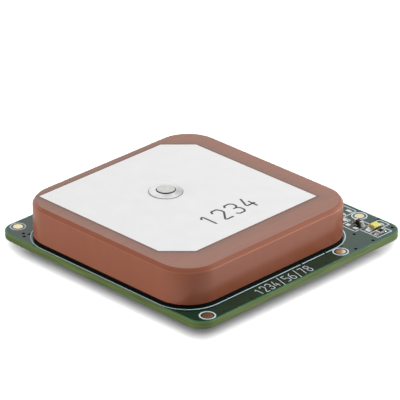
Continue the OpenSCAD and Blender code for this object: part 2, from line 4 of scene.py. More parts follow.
import bmesh
import bpy
from bpy.props import FloatProperty, FloatVectorProperty, PointerProperty, StringProperty
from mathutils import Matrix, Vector


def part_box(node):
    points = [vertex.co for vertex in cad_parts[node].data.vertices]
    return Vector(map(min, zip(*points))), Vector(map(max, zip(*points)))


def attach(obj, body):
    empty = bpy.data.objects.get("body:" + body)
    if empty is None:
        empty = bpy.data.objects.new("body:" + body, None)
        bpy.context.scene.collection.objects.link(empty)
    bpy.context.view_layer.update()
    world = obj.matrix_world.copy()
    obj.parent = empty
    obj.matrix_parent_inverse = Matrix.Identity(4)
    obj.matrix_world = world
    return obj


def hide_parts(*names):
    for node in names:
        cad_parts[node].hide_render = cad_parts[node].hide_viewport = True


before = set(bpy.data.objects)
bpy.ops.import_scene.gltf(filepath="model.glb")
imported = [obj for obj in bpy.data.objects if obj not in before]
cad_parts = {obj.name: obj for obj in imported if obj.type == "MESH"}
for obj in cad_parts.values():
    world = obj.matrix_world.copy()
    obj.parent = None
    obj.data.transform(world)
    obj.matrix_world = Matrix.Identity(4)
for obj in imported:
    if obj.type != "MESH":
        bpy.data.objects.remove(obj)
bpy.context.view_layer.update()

bl_info = {
    "name": "Patch antenna receiver module",
    "version": (1, 0, 0),
    "blender": (4, 5, 0),
    "location": "View3D > Sidebar > Receiver",
    "description": "Builds the finished pieces of a positioning receiver module around its CAD frame",
    "category": "Object",
}

MM = 0.001
BODY = "root"

# Points on a round corner, a small disc, a large round body and a printed dot
CORNER_STEPS = 14
DISC_STEPS = 48
ROUND_STEPS = 96
DOT_STEPS = 24
# Points closer than this are one point, and heights closer than the second are level, in metres
SAME_POINT = 1e-7
SAME_LEVEL = 1e-6
# Rounding of a printed line's corners
PRINT_CORNER = 0.06 * MM
# A rounded rectangle's corner never gets sharper than this
SMALLEST_RADIUS = 0.02 * MM
# Edges that turn by more than this, in degrees, are shaded as sharp
SHARP_TURN = 35
# A face is level when its normal's upright part is larger than this
LEVEL_FACE = 0.99
# The range that a noise texture's values mostly stay in, and the detail of every noise
NOISE_LOW, NOISE_HIGH = 0.3, 0.7
NOISE_DETAIL = 3.0
# Places of a colour mix's sockets, because the other kinds of mix share their names
MIX_FIRST, MIX_SECOND, MIX_RESULT = 6, 7, 2

# Places that come from the frame, in metres
BOARD_LOW, BOARD_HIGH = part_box("circuit_board")
CERAMIC_LOW, CERAMIC_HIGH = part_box("antenna_ceramic")
ELECTRODE_LOW, ELECTRODE_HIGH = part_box("antenna_electrode")
TAPE_LOW, TAPE_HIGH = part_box("adhesive_tape")
MOUND_LOW, MOUND_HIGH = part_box("feed_solder_top")
PIN_LOW, PIN_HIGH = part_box("feed_pin")


def linear(hex_colour):
    """Linear RGBA of an sRGB hex colour."""
    channels = [int(hex_colour[i:i + 2], 16) / 255 for i in (1, 3, 5)]
    return [c / 12.92 if c <= 0.04045 else ((c + 0.055) / 1.055) ** 2.4 for c in channels] + [1.0]


def number(name, description, value):
    """A plain number property."""
    return FloatProperty(name=name, description=description, default=value)


def length(name, description, millimetres):
    """A length property whose default is given in millimetres."""
    return FloatProperty(
        name=name, description=description, default=millimetres * MM, unit="LENGTH", precision=5)


def colour(name, description, hex_colour):
    """A colour property whose default is an sRGB hex value."""
    return FloatVectorProperty(
        name=name, description=description, default=linear(hex_colour), size=4, subtype="COLOR", min=0, max=1)


class BoardLook(bpy.types.PropertyGroup):
    """Sizes and colours of the circuit board."""

    corner: length("Corner", "Radius of the board's corners", 1.8)
    broken: length("Broken edge", "Chamfer that the router leaves on the board's edges", 0.03)
    mask: length("Mask", "Thickness of the solder mask", 0.02)
    mask_inset: length("Mask inset", "Bare laminate along the board's edge", 0.05)
    pour_inset: length("Pour inset", "Copper-free edge of the board", 0.17)
    ink: length("Ink", "Height of the printed ink", 0.014)
    ink_line: length("Ink line", "Width of a printed line", 0.115)
    outline_gap: length("Outline gap", "Distance of the printed outline from the block", 0.25)
    ring: length("Ring", "Radius of the printed rings round the gold pads", 0.79)
    ring_line: length("Ring line", "Width of the printed rings", 0.155)
    mark: length("Mark", "Radius of the dot printed on the outline", 0.11)
    digit: length("Digit", "Height of the printed digits", 1.2)
    digit_line: length("Digit line", "Width of the printed digits' strokes", 0.09)
    digits: StringProperty(
        name="Digits", description="Plain numbers printed on the front rim", default="1234/56/78")
    via: length("Via", "Diameter of the drilled vias", 0.34)
    plugged_via: length("Plugged via", "Diameter of the dimple in a via that the mask fills", 0.17)
    mask_colour: colour("Mask colour", "Solder mask over copper", "#033828")
    edge_colour: colour("Edge colour", "Solder mask over bare laminate", "#0E7A5A")
    ink_colour: colour("Ink colour", "Printed ink", "#E3F0FA")


class AntennaLook(bpy.types.PropertyGroup):
    """Sizes and colours of the patch antenna."""

    corner: length("Corner", "Radius of the block's corners", 3.9)
    chamfer_run: length("Chamfer run", "Chamfer measured inwards", 0.3)
    chamfer_drop: length("Chamfer drop", "Chamfer measured downwards", 0.4)
    edge: length("Edge", "Rounding at the block's foot, left by the press", 0.11)
    # The rounding below the chamfer is painted paler than the ceramic, as a highlight
    highlight_rounding: length("Painted highlight edge", "Rounding below the chamfer, rubbed pale by the tumbling", 0.25)
    lip: length("Lip", "Rounding between the chamfer and the lapped face", 0.25)
    cut: length("Cut", "Tuning cut at two corners of the electrode", 2.7)
    feather: length("Feather", "Slope of the electrode's edge, measured inwards", 0.05)
    # A thin dark brown line is laid round the electrode, this wide
    dark_line: length("Dark line", "Width of the dark line where the silver's glass runs out", 0.2)
    # A band of the lapped face round the electrode is tinted greyer, fading outwards over this width
    grey_band: length("Grey band", "Width of the ceramic that the silver greys round the electrode", 1.5)
    digit: length("Digit", "Height of the digits on the electrode", 2.3)
    digit_line: length("Digit line", "Width of those digits' strokes", 0.22)
    digits: StringProperty(name="Digits", description="Plain numbers on the electrode", default="1234")
    ceramic_colour: colour("Ceramic", "Fired skin of the dielectric ceramic", "#98563C")
    lapped_colour: colour("Lapped ceramic", "Face that is lapped flat", "#A06F5E")
    grey_band_colour: colour("Grey band colour", "Tint of the greyed ceramic at the electrode", "#E4F8FF")
    silver_colour: colour("Silver", "Fired silver paste", "#FCFCFC")
    digit_colour: colour("Digit colour", "Etched digits", "#56585B")


class StageLook(bpy.types.PropertyGroup):
    """Camera and light of the picture."""

    azimuth: number("Azimuth", "Camera's bearing in degrees", -45.07)
    elevation: number("Elevation", "Camera's height in degrees", 26.26)
    distance: length("Distance", "Camera to the point that it looks at", 378.72)
    lens: number("Lens", "Focal length on the sensor below, in millimetres", 325.92)
    sensor: number("Sensor", "Width of the camera's sensor, in millimetres", 36)
    aim: FloatVectorProperty(
        name="Aim", description="Point that the camera looks at",
        default=(1.864 * MM, 2.079 * MM, 5.75 * MM), subtype="TRANSLATION", unit="LENGTH", precision=5)
    tent: number("Tent", "Level of the light tent round the object", 0.45)
    gap: number("Gap", "Level of the gap in the tent's wall, in reflections", 0.62)
    mouth: number("Mouth", "Level of the tent's open front, in reflections", 0.4)
    key: number("Key", "Level of the softbox behind on the right", 0.93)
    fill: number("Fill", "Level of the low strip light on the left", 0.5)
    glint: number("Glint", "Level of the strip that only shiny edges show", 0.3)
    card: number("Card", "Level of the card that the block's right side reflects", 0.3)
    paper: number("Paper", "Share of light that the floor gives back", 0.8)
    seen: number("Seen paper", "Tone of the floor that the camera sees", 0.3)
    front: number("Front", "Level of the lamp that whitens the paper alone", 3.2)
    overhead: number("Overhead", "Level of the lamp that softens the shadow on the paper", 1.5)


def add(tree, kind, inputs=None, **settings):
    """Adds a node with its settings, and sets or links its inputs."""
    made = tree.nodes.new(kind)
    for name, value in settings.items():
        setattr(made, name, value)
    for socket, value in (inputs or {}).items():
        if isinstance(value, bpy.types.NodeSocket):
            tree.links.new(value, made.inputs[socket])
        else:
            made.inputs[socket].default_value = value
    return made


def empty_tree(owner):
    """The node tree of a material or a world, with nothing in it yet."""
    owner.use_nodes = True
    owner.node_tree.nodes.clear()
    return owner.node_tree


def per_metre(millimetres):
    """Texture scale at which one feature of a pattern has this size."""
    return 1.0 / (millimetres * MM)


def once(recipe):
    """Makes a material or tree the first time that it is asked for, and the same one afterwards."""
    made = []

    def get():
        if not made:
            made.append(recipe())
        return made[0]

    return get


def hues(*hex_colours):
    """Linear colours of some sRGB hex values."""
    return [linear(hex_colour) for hex_colour in hex_colours]


def shades(base, *factors):
    """A colour made darker or lighter by each factor."""
    return [[min(1.0, channel * factor) for channel in base[:3]] + [1.0] for factor in factors]


def finish(name, tones, patch, gloss=None, relief=None, stretch=(1, 1, 1), **sockets):
    """A finish that wanders between two tones and between two roughnesses, over a fine relief.

    patch gives the size of the tone's and of the gloss's patches, and relief the size and depth of the
    bumps, all in millimetres; stretch below 1 draws the pattern out along that axis.
    """
    material = bpy.data.materials.new(name)
    tree = empty_tree(material)
    shader = add(tree, "ShaderNodeBsdfPrincipled", {
        socket.replace("_", " "): value for socket, value in sockets.items()})
    add(tree, "ShaderNodeOutputMaterial", {"Surface": shader.outputs["BSDF"]})
    own = add(tree, "ShaderNodeTexCoord").outputs["Object"]
    drawn = add(tree, "ShaderNodeMapping", {"Vector": own, "Scale": stretch}).outputs["Vector"]
    clouds = add(tree, "ShaderNodeTexNoise", {
        "Vector": drawn, "Scale": per_metre(patch[0]), "Detail": NOISE_DETAIL})
    share = add(tree, "ShaderNodeMapRange", {
        "Value": clouds.outputs["Fac"], "From Min": NOISE_LOW, "From Max": NOISE_HIGH})
    tone = add(tree, "ShaderNodeMix", {
        "Factor": share.outputs["Result"], MIX_FIRST: tones[0], MIX_SECOND: tones[1]}, data_type="RGBA")
    tree.links.new(tone.outputs[MIX_RESULT], shader.inputs["Base Color"])
    if gloss:
        haze = add(tree, "ShaderNodeTexNoise", {
            "Vector": drawn, "Scale": per_metre(patch[1]), "Detail": NOISE_DETAIL})
        rough = add(tree, "ShaderNodeMapRange", {
            "Value": haze.outputs["Fac"], "From Min": NOISE_LOW, "From Max": NOISE_HIGH,
            "To Min": gloss[0], "To Max": gloss[1]})
        tree.links.new(rough.outputs["Result"], shader.inputs["Roughness"])
    if relief:
        bumps = add(tree, "ShaderNodeTexNoise", {
            "Vector": drawn, "Scale": per_metre(relief[0]), "Detail": NOISE_DETAIL})
        bump = add(tree, "ShaderNodeBump", {"Height": bumps.outputs["Fac"], "Distance": relief[1] * MM})
        tree.links.new(bump.outputs["Normal"], shader.inputs["Normal"])
    material.diffuse_color = tones[1]
    return material


@once
def mask_on_copper():
    """Glossy solder mask over the copper pour: dark green, with the soft orange peel of a cured coat."""
    base = bpy.context.scene.board_look.mask_colour
    return finish(
        "solder_mask_on_copper", shades(base, 0.85, 1.2), patch=(1.6, 0.5), gloss=(0.1, 0.16),
        relief=(0.3, 0.002), IOR=1.55)


@once
def mask_on_laminate():
    """Solder mask where no copper lies under it: brighter green, lit through the laminate."""
    base = bpy.context.scene.board_look.edge_colour
    return finish(
        "solder_mask_on_laminate", shades(base, 0.85, 1.2), patch=(0.6, 0.3), gloss=(0.2, 0.3),
        relief=(0.2, 0.003), IOR=1.5)


@once
def glass_epoxy():
    """FR-4 laminate, routed: olive resin with paler glass plies that run along the edge."""
    return finish(
        "glass_epoxy_laminate", hues("#4B5C2D", "#6A7E43"), patch=(0.5, 0.3), gloss=(0.55, 0.7),
        relief=(0.3, 0.01), stretch=(0.12, 0.12, 3.0), IOR=1.52)


@once
def printed_ink():
    """White epoxy ink from a screen: matt, a little thin in places."""
    base = bpy.context.scene.board_look.ink_colour
    return finish(
        "printed_epoxy_ink", shades(base, 0.92, 1.0), patch=(0.15, 0.2), gloss=(0.5, 0.65),
        relief=(0.05, 0.004), IOR=1.5)


@once
def immersion_gold():
    """Immersion gold over nickel: pale and mirror-like, with the faint grain of etched copper."""
    return finish(
        "immersion_gold", hues("#ECDDAB", "#F6EECA"), patch=(0.2, 0.08), gloss=(0.18, 0.26), Metallic=1.0)


@once
def fired_ceramic():
    """Dielectric ceramic as it leaves the kiln: smooth red-brown skin, satin sheen and faint clouds."""
    base = bpy.context.scene.antenna_look.ceramic_colour
    return finish(
        "fired_dielectric_ceramic", shades(base, 0.97, 1.03), patch=(1.6, 1.6), relief=(0.5, 0.001),
        stretch=(1, 1, 0.25), IOR=1.55, Roughness=0.25)


@once
def ceramic_painted_highlight():
    """The ceramic's edge below the chamfer: the same skin, painted a little paler as a highlight."""
    base = bpy.context.scene.antenna_look.ceramic_colour
    return finish(
        "dielectric_ceramic_painted_highlight", shades(base, 1.12, 1.2), patch=(0.8, 0.8), relief=(0.5, 0.001),
        IOR=1.55, Roughness=0.3)


@once
def lapped_ceramic():
    """The ceramic lapped flat: paler and matt, with fine straight marks, and greyer in a band round the fired
    silver.
    """
    antenna = bpy.context.scene.antenna_look
    material = finish(
        "lapped_dielectric_ceramic", shades(antenna.lapped_colour, 0.92, 1.08), patch=(0.12, 0.3),
        gloss=(0.4, 0.5), relief=(0.12, 0.003), stretch=(0.04, 1.0, 1.0), IOR=1.6)
    tree = material.node_tree
    shader = tree.nodes["Principled BSDF"]
    tone = shader.inputs["Base Color"].links[0].from_socket
    # How far a point lies outside the electrode's sides and its two cuts
    own = add(tree, "ShaderNodeTexCoord").outputs["Object"]
    middle = (ELECTRODE_LOW + ELECTRODE_HIGH) / 2
    half = (ELECTRODE_HIGH - ELECTRODE_LOW) / 2
    offset = add(tree, "ShaderNodeVectorMath", {0: own, 1: middle}, operation="SUBTRACT")
    mirrored = add(tree, "ShaderNodeVectorMath", {0: offset.outputs["Vector"]}, operation="ABSOLUTE")
    beyond = add(tree, "ShaderNodeVectorMath", {0: mirrored.outputs["Vector"], 1: half}, operation="SUBTRACT")
    sides = add(tree, "ShaderNodeSeparateXYZ", {"Vector": beyond.outputs["Vector"]})
    past_side = add(tree, "ShaderNodeMath", {
        0: sides.outputs["X"], 1: sides.outputs["Y"]}, operation="MAXIMUM")
    diagonal = math.sqrt(0.5)
    slant = add(tree, "ShaderNodeVectorMath", {
        0: offset.outputs["Vector"], 1: (diagonal, diagonal, 0)}, operation="DOT_PRODUCT")
    across = add(tree, "ShaderNodeMath", {0: slant.outputs["Value"]}, operation="ABSOLUTE")
    past_cut = add(tree, "ShaderNodeMath", {
        0: across.outputs["Value"], 1: (half.x + half.y - antenna.cut) * diagonal}, operation="SUBTRACT")
    distance = add(tree, "ShaderNodeMath", {
        0: past_side.outputs["Value"], 1: past_cut.outputs["Value"]}, operation="MAXIMUM")
    # The tint is strongest at the electrode and fades to nothing over the band's width
    share = add(tree, "ShaderNodeMapRange", {
        "Value": distance.outputs["Value"], "From Max": antenna.grey_band, "To Min": 1.0, "To Max": 0.0})
    greyed_tone = add(tree, "ShaderNodeMix", {
        "Factor": share.outputs["Result"], MIX_FIRST: tone, MIX_SECOND: antenna.grey_band_colour},
        data_type="RGBA", blend_type="MULTIPLY")
    tree.links.new(greyed_tone.outputs[MIX_RESULT], shader.inputs["Base Color"])
    return material


@once
def fired_silver():
    """Silver paste, screen printed and fired: matt white metal with the weave of the screen."""
    base = bpy.context.scene.antenna_look.silver_colour
    return finish(
        "fired_silver_paste", shades(base, 0.97, 1.0), patch=(2.0, 0.1), gloss=(0.42, 0.58),
        relief=(0.07, 0.003), Metallic=0.2)


@once
def etched_grey():
    """Digits burnt into the silver: dark grey and matt."""
    base = bpy.context.scene.antenna_look.digit_colour
    return finish("burnt_silver", shades(base, 0.7, 1.2), patch=(0.08, 0.1), gloss=(0.65, 0.75))


@once
def black_tape():
    """Black acrylic foam tape, cut through: deep black matt edge with fine cells."""
    return finish(
        "acrylic_foam_tape", hues("#040404", "#0D0D0C"), patch=(0.1, 0.1), gloss=(0.8, 0.95),
        relief=(0.06, 0.01), Specular_IOR_Level=0.15)


@once
def reflowed_solder():
    """Tin solder after reflow: grey and bright by turns, with frosty patches where it froze last."""
    return finish(
        "reflowed_tin_solder", hues("#C8C9CA", "#F6F6F5"), patch=(0.3, 0.25), gloss=(0.12, 0.3),
        relief=(0.2, 0.012), Metallic=1.0)


@once
def tinned_copper():
    """Bare lands levelled with hot air: a bright, even coat of tin."""
    return finish(
        "levelled_tin", hues("#DEDEDD", "#F4F4F2"), patch=(0.3, 0.25), gloss=(0.16, 0.3),
        relief=(0.25, 0.006), Metallic=1.0)


@once
def smooth_solder():
    """Hand-soldered tin round the feed: one even, shiny skin."""
    return finish(
        "hand_soldered_tin", hues("#DADBDC", "#EEEEED"), patch=(0.8, 0.5), gloss=(0.1, 0.16), Metallic=1.0)


@once
def electrode_dark_line():
    """A thin brown line round the electrode, on its sloped edge and just outside it."""
    return finish("electrode_dark_line_finish", hues("#805F55", "#947166"), patch=(0.3, 0.3), gloss=(0.5, 0.7))


@once
def flux_residue():
    """Flux left round the solder: a thin grey line."""
    return finish("flux_residue", hues("#86827C", "#9C9892"), patch=(0.3, 0.3), gloss=(0.5, 0.7))


@once
def pin_rim_painted_shade():
    """The pin head's rim, painted nearly black as shade and as a dark reflection."""
    return finish(
        "pin_rim_painted_shade_and_reflection", hues("#1D1B18", "#3A3733"), patch=(0.2, 0.2), gloss=(0.5, 0.7), Metallic=0.4)


@once
def turned_pin():
    """Tin-plated brass pin: satin grey, with faint turning marks."""
    return finish(
        "tin_plated_pin", hues("#D8D8D5", "#E6E6E3"), patch=(0.4, 0.12), gloss=(0.3, 0.42),
        relief=(0.06, 0.002), Metallic=1.0)


@once
def tinplate():
    """Tinned steel sheet: satin, drawn faintly along the rolling direction."""
    return finish(
        "rolled_tinplate", hues("#B9BBBC", "#CDCECE"), patch=(0.6, 0.15), gloss=(0.22, 0.38),
        relief=(0.15, 0.002), stretch=(0.08, 1.0, 1.0), Metallic=1.0)


@once
def nickel_steel():
    """Nickel-plated steel, deep drawn: clean and bright."""
    return finish(
        "nickel_plated_steel", hues("#C4C1BA", "#D8D5CE"), patch=(1.5, 0.2), gloss=(0.16, 0.28),
        relief=(0.3, 0.001), Metallic=1.0)


@once
def black_epoxy():
    """Epoxy moulding compound: charcoal, with the fine sparkle of its silica filler."""
    return finish(
        "epoxy_moulding_compound", hues("#141415", "#2B2A2A"), patch=(0.04, 0.08), gloss=(0.4, 0.6),
        relief=(0.04, 0.004), IOR=1.55)


@once
def resistor_coat():
    """Black glaze printed over a chip resistor: dull and very dark."""
    return finish(
        "resistor_glaze", hues("#0B0B0B", "#1A1A1A"), patch=(0.1, 0.1), gloss=(0.55, 0.7),
        relief=(0.08, 0.002), Specular_IOR_Level=0.2)


@once
def ferrite():
    """Sintered ferrite: near black with a brown cast, dull."""
    return finish(
        "sintered_ferrite", hues("#17120F", "#2E2622"), patch=(0.05, 0.1), gloss=(0.45, 0.6),
        relief=(0.06, 0.006))


@once
def alumina():
    """Alumina chip ceramic: chalk white."""
    return finish(
        "alumina_ceramic", hues("#B4B1A9", "#D2D0C9"), patch=(0.06, 0.1), gloss=(0.5, 0.6),
        relief=(0.05, 0.002))


@once
def titanate():
    """Barium titanate chip ceramic: tan, smooth."""
    return finish(
        "barium_titanate_ceramic", hues("#9C7C58", "#B99A74"), patch=(0.1, 0.1), gloss=(0.35, 0.45),
        relief=(0.08, 0.002))


@once
def phosphor():
    """Silicone loaded with yellow phosphor: waxy, faintly grainy."""
    return finish(
        "phosphor_silicone", hues("#F2EB74", "#F7F18A"), patch=(0.3, 0.1), gloss=(0.4, 0.5),
        relief=(0.1, 0.001), IOR=1.41)


@once
def led_base_near_black():
    """The status light's base, made near black: dull, with a faint grain."""
    return finish(
        "status_light_base_near_black", hues("#161614", "#2A2926"), patch=(0.08, 0.1), gloss=(0.5, 0.65),
        relief=(0.06, 0.003))


@once
def nylon():
    """Natural nylon, moulded: warm white, fine spark-eroded grain."""
    return finish(
        "natural_nylon", hues("#DCD6C4", "#E9E4D5"), patch=(1.2, 0.2), gloss=(0.4, 0.5),
        relief=(0.06, 0.005), IOR=1.53)


@once
def via_painted_shade():
    """A near-black disc: painted shade where a via's hole lies."""
    return finish(
        "via_hole_painted_shade", hues("#010302", "#040A07"), patch=(0.1, 0.1), gloss=(0.9, 1.0), Specular_IOR_Level=0.0)


def show(name, data):
    """Puts an object with this mesh, curve, lamp or camera in the scene."""
    shown = bpy.data.objects.new(name, data)
    bpy.context.scene.collection.objects.link(shown)
    return shown


def place(name, mesh, material, stands_for=()):
    """Puts a finished mesh in the scene, riding the module's one body."""
    if not mesh.polygons:
        raise RuntimeError(f"{name} has no faces")
    mesh.name = name
    mesh.materials.clear()
    mesh.materials.append(material)
    piece = show(name, mesh)
    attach(piece, BODY)
    if stands_for:
        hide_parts(*stands_for)
    return piece


def evaluated(carrier):
    """The plain mesh that an object's curve or modifier makes."""
    graph = bpy.context.evaluated_depsgraph_get()
    return bpy.data.meshes.new_from_object(carrier.evaluated_get(graph))


def smoothed(mesh, sharp_turn=SHARP_TURN):
    """The same mesh, smooth apart from its sharp edges."""
    mesh.shade_smooth()
    mesh.set_sharp_from_angle(angle=math.radians(sharp_turn))
    return mesh


def to_mesh(shape, sharp_turn=SHARP_TURN):
    """A mesh from a bmesh, with its faces outwards, and smooth apart from its sharp edges."""
    bmesh.ops.recalc_face_normals(shape, faces=shape.faces)
    if shape.calc_volume(signed=True) < 0:
        bmesh.ops.reverse_faces(shape, faces=shape.faces)
    mesh = bpy.data.meshes.new("shape")
    shape.to_mesh(mesh)
    shape.free()
    return smoothed(mesh, sharp_turn)


def rounded_rectangle(low, high, radius, steps=CORNER_STEPS):
    """Points of a rectangle with round corners, counter-clockwise."""
    points = []
    corners = ((high.x, high.y), (low.x, high.y), (low.x, low.y), (high.x, low.y))
    for turn, (x, y) in enumerate(corners):
        centre = Vector((
            x - radius if x == high.x else x + radius, y - radius if y == high.y else y + radius))
        for step in range(steps + 1):
            angle = math.pi / 2 * (turn + step / steps)
            points.append(centre + radius * Vector((math.cos(angle), math.sin(angle))))
    return points


def inset_rectangle(low, high, radius, inset):
    """The same rounded rectangle drawn in by a distance."""
    step = Vector((inset, inset, 0))
    return rounded_rectangle(low + step, high - step, max(radius - inset, SMALLEST_RADIUS))


def circle(centre, radius, steps=DISC_STEPS):
    """Points of a circle, counter-clockwise."""
    angles = [2 * math.pi * i / steps for i in range(steps)]
    return [Vector((centre[0] + radius * math.cos(a), centre[1] + radius * math.sin(a))) for a in angles]


def arc(centre, radius, start, end, steps=6):
    """Points of a profile's round edge, from one angle to another in degrees."""
    angles = [math.radians(start + (end - start) * i / steps) for i in range(steps + 1)]
    return [(centre[0] + radius * math.cos(a), centre[1] + radius * math.sin(a)) for a in angles]


def loft(rings):
    """A closed skin over rings of points, each given with its height."""
    shape = bmesh.new()
    rows = [[shape.verts.new((p.x, p.y, z)) for p in points] for points, z in rings]
    count = len(rows[0])
    for lower, upper in zip(rows, rows[1:]):
        for i in range(count):
            j = (i + 1) % count
            shape.faces.new((lower[i], lower[j], upper[j], upper[i]))
    shape.faces.new(list(reversed(rows[0])))
    shape.faces.new(rows[-1])
    return shape


def revolve(profile, centre, steps=ROUND_STEPS):
    """A closed round body from a profile of (radius, height) points that starts and ends on the axis."""
    shape = bmesh.new()
    rows = []
    for radius, z in profile:
        if radius == 0:
            rows.append([shape.verts.new((centre[0], centre[1], z))])
        else:
            rows.append([shape.verts.new((p.x, p.y, z)) for p in circle(centre, radius, steps)])
    for lower, upper in zip(rows, rows[1:]):
        for i in range(steps):
            j = (i + 1) % steps
            below = [lower[i % len(lower)], lower[j % len(lower)]]
            above = [upper[j % len(upper)], upper[i % len(upper)]]
            shape.faces.new(list(dict.fromkeys(below + above)))
    return shape


def flat_plate(outlines, z_low, z_high):
    """A thin plate from an outline and any holes in it, filled as a flat curve."""
    curve = bpy.data.curves.new("plate", "CURVE")
    curve.dimensions = "2D"
    curve.fill_mode = "BOTH"
    curve.extrude = (z_high - z_low) / 2
    for outline in outlines:
        spline = curve.splines.new("POLY")
        spline.points.add(len(outline) - 1)
        for point, target in zip(spline.points, outline):
            point.co = (target.x, target.y, 0, 1)
        spline.use_cyclic_u = True
    carrier = show("plate", curve)
    solid = evaluated(carrier)
    bpy.data.objects.remove(carrier)
    shape = bmesh.new()
    shape.from_mesh(solid)
    bmesh.ops.remove_doubles(shape, verts=shape.verts, dist=SAME_POINT)
    bmesh.ops.translate(shape, verts=shape.verts, vec=(0, 0, (z_low + z_high) / 2))
    return to_mesh(shape)


def merged_copy(node):
    """A bmesh copy of a CAD node's mesh, with its loose triangles joined."""
    shape = bmesh.new()
    shape.from_mesh(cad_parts[node].data)
    bmesh.ops.remove_doubles(shape, verts=shape.verts, dist=SAME_POINT)
    return shape


def solids(node):
    """The separate solids of a CAD node, each as its lowest and highest corner."""
    shape = merged_copy(node)
    boxes = []
    waiting = set(shape.verts)
    while waiting:
        group = []
        front = [waiting.pop()]
        while front:
            vert = front.pop()
            group.append(vert.co.copy())
            linked = {edge.other_vert(vert) for edge in vert.link_edges} & waiting
            waiting -= linked
            front.extend(linked)
        boxes.append((Vector(map(min, zip(*group))), Vector(map(max, zip(*group)))))
    shape.free()
    return sorted(boxes, key=lambda box: tuple(round(c, 6) for c in (*box[0], *box[1])))


def on_top(low):
    """Whether a solid with this lowest corner stands on the board's upper face."""
    return low.z >= BOARD_HIGH.z - SAME_LEVEL


def eased_copy(node, edge_mm, steps):
    """A copy of a CAD node's mesh with its sharp edges eased by a small bevel."""
    flat_turn, eased_turn, sharp_turn = 1, 30, 15        # degrees
    shape = merged_copy(node)
    bmesh.ops.dissolve_limit(
        shape, angle_limit=math.radians(flat_turn), verts=shape.verts, edges=shape.edges,
        use_dissolve_boundaries=False)
    sharp = [edge for edge in shape.edges
             if edge.is_manifold and edge.calc_face_angle() > math.radians(eased_turn)]
    if edge_mm:
        bmesh.ops.bevel(
            shape, geom=sharp, offset=edge_mm * MM, segments=steps, profile=0.5, affect="EDGES",
            clamp_overlap=True)
    return to_mesh(shape, sharp_turn)


def ease(name, node, edge_mm, recipe, steps=2):
    """Puts an eased copy of a CAD node in the scene, in the place of that node."""
    place(name, eased_copy(node, edge_mm, steps), recipe(), [node])


def run_tree(tree, source, values):
    """Runs a node tree on a mesh and returns the plain mesh that it makes."""
    carrier = show("carrier", source)
    modifier = carrier.modifiers.new("Make", "NODES")
    modifier.node_group = tree
    for item in tree.interface.items_tree:
        if item.item_type == "SOCKET" and item.in_out == "INPUT" and item.name in values:
            modifier[item.identifier] = values[item.name]
    made = evaluated(carrier)
    carrier.modifiers.remove(modifier)
    bpy.data.objects.remove(carrier)
    return smoothed(made)


def new_tree(name, inputs):
    """A geometry tree with a geometry input, the named inputs and a geometry output."""
    tree = bpy.data.node_groups.new(name, "GeometryNodeTree")
    tree.interface.new_socket("Geometry", in_out="INPUT", socket_type="NodeSocketGeometry")
    for label, kind in inputs.items():
        tree.interface.new_socket(label, in_out="INPUT", socket_type=kind)
    tree.interface.new_socket("Geometry", in_out="OUTPUT", socket_type="NodeSocketGeometry")
    return tree, add(tree, "NodeGroupInput").outputs


def close_tree(tree, geometry, material):
    """Ends a tree in Realize Instances and Set Material."""
    real = add(tree, "GeometryNodeRealizeInstances", {"Geometry": geometry})
    done = add(tree, "GeometryNodeSetMaterial", {"Geometry": real.outputs["Geometry"], "Material": material})
    add(tree, "NodeGroupOutput", {"Geometry": done.outputs["Geometry"]})
    return tree


@once
def ink_tree():
    """Sweeps a flat bead of ink along the edges of a mesh, with rounded corners."""
    tree, given = new_tree("ink_lines", {
        "Line width": "NodeSocketFloat", "Ink height": "NodeSocketFloat",
        "Corner radius": "NodeSocketFloat", "Ink": "NodeSocketMaterial"})
    points_per_corner = 5
    path = add(tree, "GeometryNodeMeshToCurve", {"Mesh": given["Geometry"]})
    soft = add(tree, "GeometryNodeFilletCurve", {
        "Curve": path.outputs["Curve"], "Radius": given["Corner radius"], "Count": points_per_corner,
        "Limit Radius": True}, mode="POLY")
    level = add(tree, "GeometryNodeSetCurveNormal", {"Curve": soft.outputs["Curve"]}, mode="Z_UP")
    bead = add(tree, "GeometryNodeCurvePrimitiveQuadrilateral", {
        "Width": given["Line width"], "Height": given["Ink height"]})
    swept = add(tree, "GeometryNodeCurveToMesh", {
        "Curve": level.outputs["Curve"], "Profile Curve": bead.outputs["Curve"], "Fill Caps": True})
    merged = add(tree, "GeometryNodeMergeByDistance", {
        "Geometry": swept.outputs["Mesh"], "Distance": SAME_POINT})
    return close_tree(tree, merged.outputs["Geometry"], given["Ink"])


@once
def dot_tree():
    """Puts a low round dot on each point of a mesh."""
    tree, given = new_tree("dots", {
        "Radius": "NodeSocketFloat", "Depth": "NodeSocketFloat", "Finish": "NodeSocketMaterial"})
    dot = add(tree, "GeometryNodeMeshCylinder", {
        "Vertices": DOT_STEPS, "Radius": given["Radius"], "Depth": given["Depth"]})
    spread = add(tree, "GeometryNodeInstanceOnPoints", {
        "Points": given["Geometry"], "Instance": dot.outputs["Mesh"]})
    return close_tree(tree, spread.outputs["Instances"], given["Finish"])


@once
def joint_tree():
    """Puts a unit solder joint on each point, turned and sized by the point's own attributes."""
    tree, given = new_tree("solder_joints", {"Joint": "NodeSocketObject", "Solder": "NodeSocketMaterial"})
    joint = add(tree, "GeometryNodeObjectInfo", {"Object": given["Joint"]})
    spin = add(tree, "GeometryNodeInputNamedAttribute", {"Name": "spin"}, data_type="FLOAT_VECTOR")
    size = add(tree, "GeometryNodeInputNamedAttribute", {"Name": "size"}, data_type="FLOAT_VECTOR")
    joints = add(tree, "GeometryNodeInstanceOnPoints", {
        "Points": given["Geometry"], "Instance": joint.outputs["Geometry"],
        "Rotation": spin.outputs["Attribute"], "Scale": size.outputs["Attribute"]})
    return close_tree(tree, joints.outputs["Instances"], given["Solder"])


